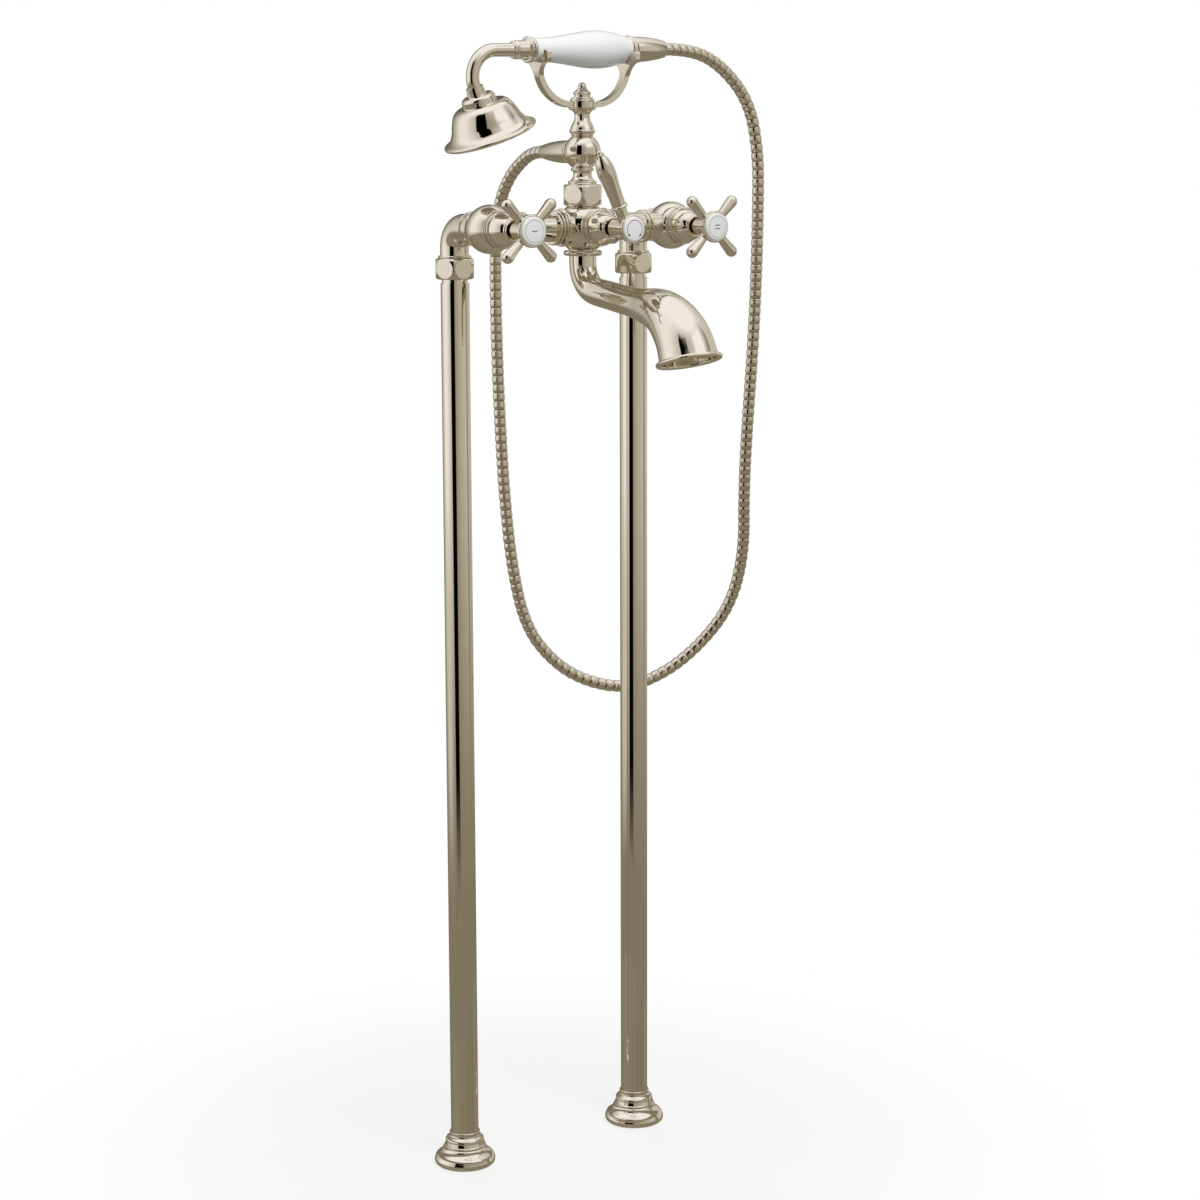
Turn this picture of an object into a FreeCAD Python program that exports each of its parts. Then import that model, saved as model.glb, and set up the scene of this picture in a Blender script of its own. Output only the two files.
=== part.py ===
import FreeCAD
import Part
import math
import os

# Free-standing tub filler with hand shower. Frame: origin on the floor midway between the
# two risers, +X along the riser line towards the cold side, -Y towards the bath, +Z up.

Vector = FreeCAD.Vector
UP = Vector(0, 0, 1)
FRONT = Vector(0, -1, 0)
BACK = Vector(0, 1, 0)
RIGHT = Vector(1, 0, 0)
LEFT = Vector(-1, 0, 0)
SIDES = {"hot": -1, "cold": 1}

# Layout of the whole filler
riser_centres = 203.2
body_height = 903.0
body_reach = 61.0
handset_rise = 161.0

# Fits and clearances
fit_gap = 0.05
running_gap = 0.1
seat_gap = 0.3
overrun = 1.0

# Risers, inlet bushes and floor flanges
riser_od = 26.67
riser_wall = 2.87
riser_neck_od = 24.2
riser_neck_show = 3.8
tail_flange_od = 29.2
tail_flange_thick = 3.0
inlet_bore = 16.0
inlet_depth = 20.0
inlet_stop_bore = 13.0
inlet_stop = 4.0
flange_od = 58.4
flange_height = 33.0
flange_shares = (
    (0.93, 0.0, 0.0), (0.985, 0.045, 0.25), (0.985, 0.22, 0.22), (0.875, 0.34, -0.22), (0.73, 0.50, 0.0),
    (0.69, 0.52, 0.0), (0.69, 0.545, 0.35), (0.655, 0.60, 0.0), (0.635, 0.70, 0.42), (0.55, 0.83, -0.25),
    (0.505, 0.90, 0.0), (0.505, 0.955, 0.30), (0.485, 1.0, 0.0),
)
flange_wall = 2.2
flange_foot = 3.0

# Union nuts and washers, alike on both risers and under the column
nut_flats = 35.0
nut_height = 19.3
nut_barrel_radius = 19.5
nut_shoulder = 3.5
nut_round = 3.0
nut_thread_od = 29.8
nut_corner_angle = 34.0
washer_thick = 2.5
washer_bore = 19.0

# Elbows
elbow_od = 26.7
elbow_wall = 3.0
elbow_bend = 18.0
elbow_leg = 9.7
elbow_bead_od = 31.0
elbow_bead = 2.4
elbow_front_leg = 11.0
elbow_spigot = 5.5

# Valve bodies, with a ball turned about the handle axis
ball_radius = 22.2
valve_collar_od = 28.4
valve_collar_bead_od = 31.2
valve_collar_bead = 3.0
valve_ball_bead_od = 35.0
valve_ball_bead = 3.6
valve_ring_od = 36.4
valve_ring = 2.2
valve_front = 16.6
port_bore = 15.0

# Valve cartridges, discs and stems
cartridge_od = 22.0
cartridge_length = 40.0
cartridge_behind = 9.0
chamber_od = 19.0
chamber_depth = 10.0
disc_od = 18.6
disc_thick = 3.0
disc_port_angle = 70.0
disc_port_outer = 15.0
disc_port_inner = 5.0
tang_width = 4.0
tang_length = 12.0
tang_depth = 1.6
stem_od = 8.0
driver_od = 18.0
driver_thick = 2.6
seal_thick = 1.8
seal_place = 28.0
outlet_window = 6.0

# Bonnets
bonnet_ring_od = 35.0
bonnet_ring = 2.4
bonnet_neck = 2.8
bonnet_neck_depth = 1.9
bonnet_groove = 1.2
bonnet_dome_step = 1.5
bonnet_length = 22.8
bonnet_lip_od = 21.4
bonnet_lip = 3.0
bonnet_mouth_od = 16.8
bonnet_dome_share = 0.17
lip_round_share = 0.8
edge_round_share = 0.3

# Cross handles, screws and buttons
hub_neck_od = 13.2
hub_neck_in = 2.5
hub_neck = 6.6
hub_od = 15.8
hub_length = 15.0
hub_flare = 7.5
hub_flare_share = -0.35
cup_od = 29.4
cup_rim = 4.0
cup_depth = 5.0
arm_reach = 37.8
arm_tip_od = 11.0
arm_root_od = 7.2
arm_root = 9.0
arm_setback = 6.5
button_od = 23.8
button_crown = 1.2
screw_od = 4.0
screw_head_od = 7.6
screw_head = 3.0
screw_grip = 8.0
stem_end_behind = 19.5

# Crossbars
crossbar_od = 25.4
crossbar_bore = 17.0
crossbar_socket = 3.0
crossbar_spigot_od = 22.0
crossbar_spigot = 4.0
inner_bead_od = 32.0
inner_bead = 2.5
inner_bead_gap = 1.4
outer_bead_od = 30.0
outer_bead = 3.0
outer_bead_gap = 1.4
outer_bead_inset = 29.2

# Centre body
centre_radius = 24.0
centre_top = 19.6
centre_bottom = 21.0
boss_od = 31.2
boss_reach = 27.2
boss_bead_od = 35.0
boss_bead = 3.2
front_boss_od = 31.0
front_reach = 24.0
front_bead_od = 34.6
front_bead = 3.2
column_spigot = 9.9

# Spout and its ring
spout_od = 25.2
spout_wall = 2.4
spout_socket = 6.0
spout_ring_od = 35.8
spout_ring_height = 5.0
spout_drop = 6.7
spout_bend = 26.0
spout_slope = 7.0
spout_run = 90.7
spout_fall_bend = 61.0
spout_fall_turn = 67.0
spout_mouth_od = 54.2
spout_lip = 4.4
spout_lip_out = 0.8
spout_shares = (
    (0.0, 0.0), (0.033, 0.0), (0.066, 0.0), (0.105, 0.0), (0.15, 0.0), (0.185, 0.0), (0.22, 0.005),
    (0.305, 0.02), (0.39, 0.04), (0.475, 0.06), (0.56, 0.16), (0.63, 0.33), (0.705, 0.50), (0.78, 0.66),
    (0.85, 0.79), (0.925, 0.89), (1.0, 1.0),
)

# Diverter
diverter_length = 53.0
diverter_behind = 13.0
spool_od = 16.0
spool_length = 26.0
spool_port = 9.0
window_bore = 10.0
diverter_bonnet_length = 23.5
diverter_bonnet_od = 34.0
diverter_hub_od = 17.4
diverter_hub_length = 17.0
diverter_cup_od = 26.0
diverter_button_od = 22.4
lever_angle = 25.0
lever_reach = 77.0
lever_socket_od = 11.0
lever_bead_od = 15.6
lever_bead_at = 20.5
lever_bead = 3.2
lever_swell_od = 17.4
lever_tip_od = 5.2
lever_setback = 8.5
lever_shares = (
    (0.75, 0.0, -0.02), (0.84, 0.34, 0.0), (0.95, 0.54, 0.05), (0.93, 0.68, 0.11), (0.46, 0.90, 0.0),
    (0.40, 0.905, 0.8), (0.40, 0.935, 0.0),
)
lever_knob_share = 0.8

# Shower column, turned in one piece
column_flange_od = 29.2
column_flange_thick = 3.1
column_shank_od = 25.6
column_shank_show = 0.3
foot_od = 26.4
foot_shares = (
    (0.97, 0.0, 0.0), (1.0, 0.05, 0.35), (1.0, 0.17, 0.0), (0.92, 0.18, -0.28), (0.645, 0.62, -0.1),
    (0.70, 0.79, 0.0), (0.76, 0.79, 0.8), (0.76, 0.95, 0.0), (0.70, 0.97, 0.0),
)
column_ball_radius = 17.0
column_ball_height = 68.8
column_ball_neck_od = 19.0
column_cup_od = 24.8
column_cup_height = 26.0
column_cup_shares = (
    (0.73, 0.01, 0.0), (0.80, 0.02, 0.6), (0.80, 0.095, 0.0), (0.90, 0.10, 0.45), (0.92, 0.22, 0.08),
    (0.75, 0.43, -0.1), (0.575, 0.64, -0.05), (0.58, 0.77, -0.3), (0.98, 0.93, 0.0), (1.0, 0.94, 0.3),
    (1.0, 1.0, 0.0),
)
column_bore = 11.0
outlet_boss_od = 20.0
outlet_boss = 0.8
outlet_thread_od = 15.0
outlet_thread = 8.0

# Cradle and finial
strap_thick = 5.2
strap_width = 8.4
strap_flat = 26.0
fork_inset = 1.0
fork_spread = 39.0
fork_rise = 27.0
fork_tip_below = 1.5
fork_shares = (
    (0.0, 0.0, -0.42), (0.95, 0.63, 0.1), (1.0, 0.88, 0.35), (0.91, 1.0, 0.0),
)
eye_od = 27.0
stud_od = 8.0
stud_depth = 10.0
finial_od = 22.4
finial_height = 12.5
finial_shares = (
    (0.92, 0.0, 0.0), (1.0, 0.056, 0.4), (1.0, 0.158, 0.0), (0.90, 0.176, 0.3), (0.86, 0.316, 0.0),
    (0.66, 0.334, 0.0), (0.65, 0.50, 0.0), (0.68, 0.51, 0.55), (0.68, 0.70, 0.0), (0.655, 0.715, -0.06),
)
finial_ball_od = 8.0
ball_neck_share = 0.97

# Hose, its nuts and washers
hose_od = 11.8
hose_groove_od = 9.9
hose_bore = 6.0
hose_ribs = 169
hose_rib_shares = (0.0, 0.18, 0.62, 0.80)
hose_samples = 400
hose_apart = 70.0
bend_share = 0.45
hose_nut_od = 21.0
hose_nut_end_od = 12.8
hose_nut_length = 46.0
hose_nut_bore = 7.0
hose_washer = 2.0
handset_nut_length = 36.6
handset_nut_od = 23.2
handset_nut_end_od = 15.8
nut_barrel_share = 0.18
nut_taper_share = 0.05

# Handset
grip_length = 104.5
grip_offset = 2.25
grip_swell_od = 34.4
grip_shares = (
    (0.615, 0.0, -0.037), (0.768, 0.33, 0.0), (0.905, 0.48, 0.041), (1.0, 0.67, 0.055), (0.885, 0.84, 0.0),
    (0.66, 1.0, 0.0),
)
core_od = 9.0
core_bore = 6.4
collar_od = 23.2
front_collar_length = 22.2
front_collar_shares = (
    (0.60, 0.0, 0.0), (0.66, 0.02, 0.4), (0.66, 0.08, 0.0), (0.64, 0.09, 0.05), (0.73, 0.19, 0.0),
    (0.74, 0.613, -0.3), (0.81, 0.676, 0.0), (0.93, 0.68, 0.7), (0.93, 0.806, 0.0), (0.84, 0.815, 0.0),
    (0.84, 0.838, 0.0), (0.92, 0.842, 0.5), (0.92, 0.972, 0.0), (0.88, 1.0, 0.0),
)
rear_collar_length = 6.0
rear_ring_od = 25.4
rear_ring = 3.4
rear_waist_od = 21.0
neck_od = 12.0
neck_wall = 1.5
neck_straight = 18.45
neck_socket = 8.0
neck_bend = 24.05
neck_turn = 110.0
neck_tail = 6.0
bell_height = 47.4
bell_rim_od = 83.0
bell_shares = (
    (0.185, 0.0, 0.0), (0.19, 0.032, 0.0), (0.21, 0.163, 0.0), (0.285, 0.166, 0.42), (0.375, 0.253, 0.0),
    (0.383, 0.332, 0.0), (0.41, 0.336, 0.33), (0.672, 0.464, 0.05), (0.78, 0.705, -0.03), (0.83, 0.79, -0.22),
    (0.985, 0.908, 0.0), (1.0, 0.918, 0.85), (1.0, 1.0, 0.0),
)
bell_wall = 1.8
bell_crown_share = 0.348
bell_hollow_shares = ((0.62, 0.496), (0.36, 0.401))
spray_plate_od = 74.0
spray_plate_thick = 2.6
spray_recess = 1.2
spray_hole = 1.5
spray_holes = 8
spray_ring_shares = (0.24, 0.48, 0.72)
gasket_thick = 1.2
gasket_wide = 3.0

# Where the hose hangs between its two straight ends, from the column to the handset
hose_hang = (
    (0.3, 46, 959.8), (0.8, 65.8, 945.3), (1.3, 82.7, 921.4), (1.8, 90, 886), (2, 91, 845), (2, 90, 790),
    (3.5, 88.1, 715), (7, 85.3, 630), (14, 82.6, 560), (26, 78.3, 505.5), (49.3, 68, 470.6), (79, 55, 448.4),
    (118, 37, 438.5), (155.4, 20, 453), (188.7, 4, 482), (213.9, -12, 521.7), (217.6, -28, 577),
    (209, -38, 640), (207, -45, 702), (209.2, -50, 775), (210.1, -54, 845), (209.4, -57, 912),
    (207.2, -60, 968), (195.6, -61, 1016.6), (164.8, -61, 1049.2),
)
hose_start_run = 18.0
hose_end_run = 35.0

# Places worked out from the sizes
handset_height = body_height + handset_rise
riser_bore = riser_od - 2 * riser_wall
nut_top = body_height - elbow_bend - elbow_leg
nut_bottom = nut_top - nut_height
riser_top = nut_bottom - riser_neck_show
tail_top = nut_bottom + nut_shoulder + tail_flange_thick
valve_rear = elbow_bend + elbow_front_leg
valve_end = body_reach + valve_front
cartridge_start = body_reach - cartridge_behind
cartridge_end = cartridge_start + cartridge_length
bonnet_end = valve_end + bonnet_length
handle_start = bonnet_end - hub_neck_in
handle_front = handle_start + hub_neck + hub_length + hub_flare + cup_rim
centre_front = body_reach + front_reach
diverter_start = body_reach - diverter_behind
diverter_end = diverter_start + diverter_length
diverter_bonnet_end = centre_front + diverter_bonnet_length
diverter_handle_start = diverter_bonnet_end - hub_neck_in
diverter_front = diverter_handle_start + hub_neck + diverter_hub_length + hub_flare + cup_rim
column_nut_bottom = body_height + centre_top + column_shank_show
column_nut_top = column_nut_bottom + nut_height
column_seat = body_height + centre_top + column_spigot + washer_thick
column_ball_z = body_height + column_ball_height
column_ball_drop = math.sqrt(column_ball_radius ** 2 - (column_ball_neck_od / 2) ** 2)
cradle_z = column_ball_z + column_ball_drop + column_cup_height
grip_start = -grip_length / 2 - grip_offset
grip_end = grip_start + grip_length
collar_start = grip_start - front_collar_length
handset_nut_start = grip_end + rear_collar_length
outlet_face = -body_reach + column_ball_radius + outlet_boss
fork_place = grip_end - fork_inset
strap_bend = fork_place - strap_flat / 2
hose_start = outlet_face + hose_nut_length + fit_gap
hose_end = handset_nut_start + handset_nut_length + fit_gap


def axis_place(base, direction):
    """Placement that carries local +Z onto a direction from a base point."""
    return FreeCAD.Placement(base, FreeCAD.Rotation(UP, direction))


def outline_edges(points):
    """Closed chain of lines and arcs; a bulge stands out to the right of the way to the next point."""
    edges = []
    for here, after in zip(points, points[1:] + points[:1]):
        start = Vector(here[0], 0, here[1])
        end = Vector(after[0], 0, after[1])
        if start.distanceToPoint(end) == 0:
            continue
        bulge = here[2] if len(here) > 2 else 0
        if bulge:
            across = Vector(end.z - start.z, 0, start.x - end.x)
            middle = (start + end) * 0.5 + across * (bulge * 0.5)
            edges.append(Part.Arc(start, middle, end).toShape())
        else:
            edges.append(Part.LineSegment(start, end).toShape())
    return edges


def turned(points, base, direction=UP):
    """Solid turned from (radius, along, bulge) points about an axis."""
    face = Part.Face(Part.Wire(outline_edges(list(points))))
    solid = face.revolve(Vector(0, 0, 0), UP, 360)
    if solid.Volume < 0:
        solid.reverse()
    solid.Placement = axis_place(base, direction)
    return solid


def shaped(shares, radius, start, length):
    """Outline points from a table of radius, place and bulge shares."""
    return [(radius * across, start + length * along, bulge) for across, along, bulge in shares]


def rod(od, start, end, base, direction=UP):
    """Plain cylinder along an axis, from start to end as measured from the base."""
    return Part.makeCylinder(od / 2, end - start, base + direction * start, direction)


def bead(od, start, end, foot_od):
    """Points of a rounded ring between two places along a turned outline."""
    foot = foot_od / 2
    height = od / 2 - foot
    side = min((end - start) / 2, height)
    flat = height - side
    return [(foot, start), (foot + flat, start, side / ((end - start) / 2)), (foot + flat, end), (foot, end)]


def dome(radius, along, height):
    """Outline point from which a ball's curve closes on the axis, a height further along."""
    ball = (radius ** 2 + height ** 2) / (2 * height)
    turn = math.atan2(radius, ball - height)
    return [(radius, along, math.tan(turn / 4)), (0, along + height)]


def cut_all(solid, tools):
    """Solid with every tool taken out of it."""
    return solid.cut(Part.makeCompound(list(tools))) if tools else solid


def riser_base(side):
    return Vector(side * riser_centres / 2, 0, 0)


def valve_base(side):
    return Vector(side * riser_centres / 2, 0, body_height)


centre_line = Vector(0, 0, body_height)
column_base = Vector(0, -body_reach, 0)
centre_point = Vector(0, -body_reach, body_height)
handset_base = Vector(0, -body_reach, handset_height)


def floor_flange(side):
    """Stepped bell that slides down the riser and covers the hole in the floor."""
    bore = riser_od / 2 + fit_gap
    inside = flange_od / 2 * flange_shares[0][0] - flange_wall
    points = [(bore, flange_foot), (inside, flange_foot), (inside, 0)]
    points += shaped(flange_shares, flange_od / 2, 0, flange_height)
    points += [(bore, flange_height)]
    return turned(points, riser_base(side))


def riser(side):
    """Leg tube with a necked tail that the union nut pulls up."""
    outer = riser_od / 2
    bore = riser_bore / 2
    neck = riser_neck_od / 2
    tail = tail_flange_od / 2
    points = [(bore, 0), (outer, 0), (outer, riser_top), (neck, riser_top), (neck, nut_bottom + nut_shoulder),
              (tail, nut_bottom + nut_shoulder), (tail, tail_top), (bore, tail_top)]
    return turned(points, riser_base(side))


def inlet_bush(side):
    """Solder cup in the foot of the riser that takes the supply tube."""
    outer = riser_bore / 2 - fit_gap
    bore = inlet_bore / 2
    stop = inlet_stop_bore / 2
    top = inlet_depth + inlet_stop
    points = [(bore, 0), (outer, 0), (outer, top), (stop, top), (stop, inlet_depth), (bore, inlet_depth)]
    return turned(points, riser_base(side))


def union_nut(base, bore_below, bore_above, shoulder_below):
    """Hexagon nut with a ball-shaped barrel, so that each flat is a round patch."""
    half = nut_height / 2
    flat_points = []
    for corner in range(7):
        angle = math.radians(60 * corner - 90 - nut_corner_angle)
        reach = nut_flats / math.sqrt(3)
        flat_points.append(Vector(reach * math.cos(angle), reach * math.sin(angle), 0))
    hexagon = Part.Face(Part.makePolygon(flat_points)).extrude(UP * nut_height)
    end = math.sqrt(nut_barrel_radius ** 2 - half ** 2)
    sagitta = (nut_barrel_radius - end) / half
    barrel = turned([(0, 0), (end, 0, sagitta), (end, nut_height), (0, nut_height)], Vector(0, 0, 0))
    nut = hexagon.common(barrel)
    rims = [edge for edge in nut.Edges
            if abs(edge.BoundBox.ZMax - edge.BoundBox.ZMin) < fit_gap]
    nut = nut.makeFillet(nut_round, rims)
    step = nut_shoulder if shoulder_below else nut_height - nut_shoulder
    lower = rod(bore_below, -overrun, step, Vector(0, 0, 0))
    upper = rod(bore_above, step, nut_height + overrun, Vector(0, 0, 0))
    nut = cut_all(nut, [lower, upper])
    nut.translate(base)
    return nut


def riser_nut(side):
    neck_bore = riser_neck_od + 2 * running_gap
    return union_nut(riser_base(side) + UP * nut_bottom, neck_bore, nut_thread_od, True)


def washer(base):
    outer = tail_flange_od / 2 - running_gap
    bore = washer_bore / 2
    points = [(bore, 0), (outer, 0), (outer, washer_thick), (bore, washer_thick)]
    return turned(points, base)


def union_washers():
    """Fibre washers of the three unions."""
    seats = [riser_base(side) + UP * tail_top for side in SIDES.values()]
    seats.append(column_base + UP * (column_seat - washer_thick))
    return Part.makeCompound([washer(seat) for seat in seats])


def elbow(side):
    """Quarter bend from the union up and forward into the valve body."""
    outer = elbow_od / 2
    bore = outer - elbow_wall
    spigot = nut_thread_od / 2 - fit_gap
    foot = tail_top + washer_thick
    start = body_height - elbow_bend
    leg_points = [(bore, foot), (spigot, foot), (spigot, nut_top)]
    leg_points += bead(elbow_bead_od, nut_top, nut_top + elbow_bead, elbow_od)
    leg_points += [(outer, start), (bore, start)]
    leg = turned(leg_points, riser_base(side))
    ring = Part.Face([Part.Wire(Part.makeCircle(outer)), Part.Wire(Part.makeCircle(bore))])
    ring.translate(riser_base(side) + UP * start)
    bend = ring.revolve(riser_base(side) + UP * start + FRONT * elbow_bend, RIGHT, 90)
    spigot_in = valve_rear + elbow_spigot
    tip = outer - elbow_wall / 2
    front_points = [(bore, elbow_bend), (outer, elbow_bend), (outer, valve_rear), (tip, valve_rear),
                    (tip, spigot_in), (bore, spigot_in)]
    front = turned(front_points, valve_base(side), FRONT)
    return leg.fuse([bend, front]).removeSplitter()


def valve_body(side):
    """Ball body turned about the handle axis, with sockets for elbow, crossbar and cartridge."""
    collar = valve_collar_od / 2
    ball_bead = valve_ball_bead_od / 2
    ring = valve_ring_od / 2
    ball_bead_end = body_reach - math.sqrt(ball_radius ** 2 - (ball_bead - valve_ball_bead / 2) ** 2)
    ring_start = valve_end - valve_ring
    ring_foot = math.sqrt(ball_radius ** 2 - (ring_start - body_reach) ** 2)
    rear_drop = body_reach - ball_bead_end
    front_drop = ring_start - body_reach
    turn = math.acos(-rear_drop / ball_radius) - math.acos(front_drop / ball_radius)
    ball_bulge = math.tan(turn / 4)
    bore = elbow_od / 2 - elbow_wall
    socket = elbow_od / 2 - elbow_wall / 2 + fit_gap
    socket_end = valve_rear + elbow_spigot
    cavity = cartridge_od / 2 + fit_gap
    points = [(socket, valve_rear)]
    points += bead(valve_collar_bead_od, valve_rear, valve_rear + valve_collar_bead, valve_collar_od)
    points += bead(valve_ball_bead_od, ball_bead_end - valve_ball_bead, ball_bead_end, valve_collar_od)[:-1]
    points[-1] = (ball_bead - valve_ball_bead / 2, ball_bead_end, ball_bulge)
    ring_flat = ring - valve_ring / 2
    points += [(ring_foot, ring_start), (ring_flat, ring_start, 1), (ring_flat, valve_end),
               (cavity, valve_end), (cavity, cartridge_start), (bore, cartridge_start), (bore, socket_end),
               (socket, socket_end)]
    body = turned(points, valve_base(side), FRONT)
    inward = Vector(-side, 0, 0)
    centre = valve_base(side) + FRONT * body_reach
    socket_face = crossbar_outer_end()
    bar_socket = rod(crossbar_od + 2 * fit_gap, socket_face, ball_radius + overrun, centre, inward)
    port = rod(port_bore, 0, socket_face + overrun, centre, inward)
    port = port.cut(rod(cartridge_od, -ball_radius, ball_radius, centre, FRONT))
    return cut_all(body, [bar_socket, port])


def crossbar_outer_end():
    """Distance of the crossbar's end face from the valve ball's centre."""
    return math.sqrt(ball_radius ** 2 - (crossbar_od / 2 + fit_gap) ** 2) - crossbar_socket


def crossbar(side):
    """Tube between the centre body and a valve ball, with turned beads at both ends."""
    outer = crossbar_od / 2
    bore = crossbar_bore / 2
    spigot = crossbar_spigot_od / 2
    end = riser_centres / 2 - crossbar_outer_end()
    first = boss_reach + inner_bead_gap
    second = first + inner_bead + inner_bead_gap
    third = riser_centres / 2 - outer_bead_inset - 2 * outer_bead - outer_bead_gap
    fourth = third + outer_bead + outer_bead_gap
    inner_end = boss_reach - crossbar_spigot
    points = [(bore, inner_end), (spigot, inner_end), (spigot, boss_reach), (outer, boss_reach)]
    points += bead(inner_bead_od, first, first + inner_bead, crossbar_od)
    points += bead(inner_bead_od, second, second + inner_bead, crossbar_od)
    points += bead(outer_bead_od, third, third + outer_bead, crossbar_od)
    points += bead(outer_bead_od, fourth, fourth + outer_bead, crossbar_od)
    points += [(outer, end), (bore, end)]
    return turned(points, centre_point, RIGHT * side)


def cartridge(side):
    """Brass cartridge shell with a disc chamber, a stem bore and two outlet windows."""
    outer = cartridge_od / 2
    chamber = chamber_od / 2
    stem = stem_od / 2 + running_gap
    groove = stem + seal_thick
    floor = cartridge_start + chamber_depth
    seal_start = cartridge_start + seal_place
    seal_end = seal_start + seal_thick
    points = [(chamber, cartridge_start), (outer, cartridge_start), (outer, cartridge_end),
              (stem, cartridge_end), (stem, seal_end), (groove, seal_end), (groove, seal_start),
              (stem, seal_start), (stem, floor), (chamber, floor)]
    shell = turned(points, valve_base(side), FRONT)
    middle = valve_base(side) + FRONT * (cartridge_start + 2 * disc_thick)
    window = rod(outlet_window, -cartridge_od, cartridge_od, middle, RIGHT)
    return shell.cut(window)


def disc_port(base, start, end, angle):
    """Wedge-shaped port through a ceramic disc, turned to an angle about the stem."""
    inner = disc_port_inner / 2
    outer = disc_port_outer / 2
    points = [(inner, start), (outer, start), (outer, end), (inner, end)]
    face = Part.Face(Part.Wire(outline_edges(points)))
    wedge = face.revolve(Vector(0, 0, 0), UP, disc_port_angle)
    wedge.rotate(Vector(0, 0, 0), UP, angle)
    wedge.Placement = axis_place(base, FRONT).multiply(wedge.Placement)
    return wedge


def ceramic_disc(side, start, port_angle, slotted):
    """Ground ceramic disc with two ports, and a slot for the stem's tang where it turns."""
    base = valve_base(side)
    end = start + disc_thick
    disc = rod(disc_od, start, end, base, FRONT)
    low = start - overrun
    high = end + overrun
    tools = [disc_port(base, low, high, port_angle + half_turn) for half_turn in (0, 180)]
    if slotted:
        tools.append(tang(side, end - tang_depth - running_gap, end + overrun, fit_gap))
    return cut_all(disc, tools)


def tang(side, start, end, gap):
    """Flat driving tang across the stem's inner end."""
    length = tang_length + 2 * gap
    width = tang_width + 2 * gap
    corner = Vector(-length / 2, -end, -width / 2) + valve_base(side)
    return Part.makeBox(length, end - start, width, corner)


def fixed_disc(side):
    return ceramic_disc(side, cartridge_start, -disc_port_angle / 2, False)


def moving_disc_start():
    return cartridge_start + disc_thick + fit_gap


def moving_disc(side):
    return ceramic_disc(side, moving_disc_start(), 90 - disc_port_angle / 2, True)


def valve_stem(side):
    """Stem with a driver flange and tang behind, tapped for the handle screw in front."""
    start = moving_disc_start() + disc_thick + fit_gap
    end = handle_front - stem_end_behind
    shaft = stem_od / 2
    tap = screw_od / 2 + fit_gap
    tap_start = end - screw_grip - fit_gap
    driver = driver_od / 2
    points = [(0, start), (driver, start), (driver, start + driver_thick), (shaft, start + driver_thick),
              (shaft, end), (tap, end), (tap, tap_start), (0, tap_start)]
    stem = turned(points, valve_base(side), FRONT)
    return stem.fuse(tang(side, start - tang_depth, start, 0)).removeSplitter()


def seal(base, place):
    """O-ring in its groove round a stem."""
    ring = Part.makeTorus(stem_od / 2 + running_gap + seal_thick / 2, seal_thick / 2 - fit_gap)
    ring.Placement = axis_place(base + FRONT * (place + seal_thick / 2), FRONT)
    return ring


def stem_seals():
    """O-rings of the two valves and of the diverter."""
    rings = [seal(valve_base(side), cartridge_start + seal_place) for side in SIDES.values()]
    rings.append(seal(centre_line, diverter_start + spool_length + seal_place / 2))
    return Part.makeCompound(rings)


def bonnet_points(start, ring_od, length, holds):
    """Outline of a domed cover with a bead behind the dome, which ends in a small lip."""
    ring = ring_od / 2
    lip = bonnet_lip_od / 2
    end = start + length
    lip_start = end - bonnet_lip
    bore = cartridge_od / 2 + fit_gap
    mouth = bonnet_mouth_od / 2
    neck = ring - bonnet_neck_depth
    bead_start = start + bonnet_neck
    bead_end = bead_start + bonnet_ring
    dome_start = bead_end + bonnet_groove
    dome = ring - bonnet_dome_step
    lip_foot = lip - lip_round_share * bonnet_lip / 2
    points = [(bore, start), (neck, start)]
    points += bead(ring_od, bead_start, bead_end, 2 * neck)
    points += [(neck, dome_start), (dome, dome_start, bonnet_dome_share),
               (lip_foot, lip_start, lip_round_share), (lip_foot, end), (mouth, end),
               (mouth, holds), (bore, holds)]
    return points


def valve_bonnet(side):
    points = bonnet_points(valve_end, bonnet_ring_od, bonnet_length, cartridge_end + running_gap)
    return turned(points, valve_base(side), FRONT)


def hub_outline(start, od, length, cup):
    """Outside of a handle hub: neck, barrel, flare and a rim round the button."""
    neck = hub_neck_od / 2
    barrel = od / 2
    rim = cup / 2
    barrel_start = start + hub_neck
    flare_start = barrel_start + length
    rim_start = flare_start + hub_flare
    front = rim_start + cup_rim
    edge = cup_rim / 4
    return [(0, start), (neck, start), (neck, barrel_start - edge), (barrel, barrel_start + edge),
            (barrel, flare_start, hub_flare_share), (rim - edge, rim_start), (rim, rim_start + edge),
            (rim, front - edge, edge_round_share), (rim - edge, front), (0, front)]


def hub_bores(base, start, front, pocket_od):
    """Stepped tool for the stem bore, the screw's hole and seat, and the button's recess."""
    stem = stem_od / 2 + fit_gap
    shank = screw_od / 2 + running_gap
    head = screw_head_od / 2 + running_gap
    recess = front - cup_depth
    head_seat = recess - screw_head - running_gap
    stem_end = front - stem_end_behind + fit_gap
    pocket = pocket_od / 2 + fit_gap
    low = start - overrun
    high = front + overrun
    points = [(0, low), (stem, low), (stem, stem_end), (shank, stem_end), (shank, head_seat),
              (head, head_seat), (head, recess), (pocket, recess), (pocket, high), (0, high)]
    return turned(points, base, FRONT)


def arm(angle):
    """Club-shaped handle arm that swells to a round end."""
    tip = arm_tip_od / 2
    root = arm_root_od / 2
    points = [(0, 0), (root, 0), (root, arm_root)] + dome(tip, arm_reach - tip, tip)
    direction = Vector(math.sin(math.radians(angle)), 0, math.cos(math.radians(angle)))
    return turned(points, FRONT * (handle_front - arm_setback), direction)


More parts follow.
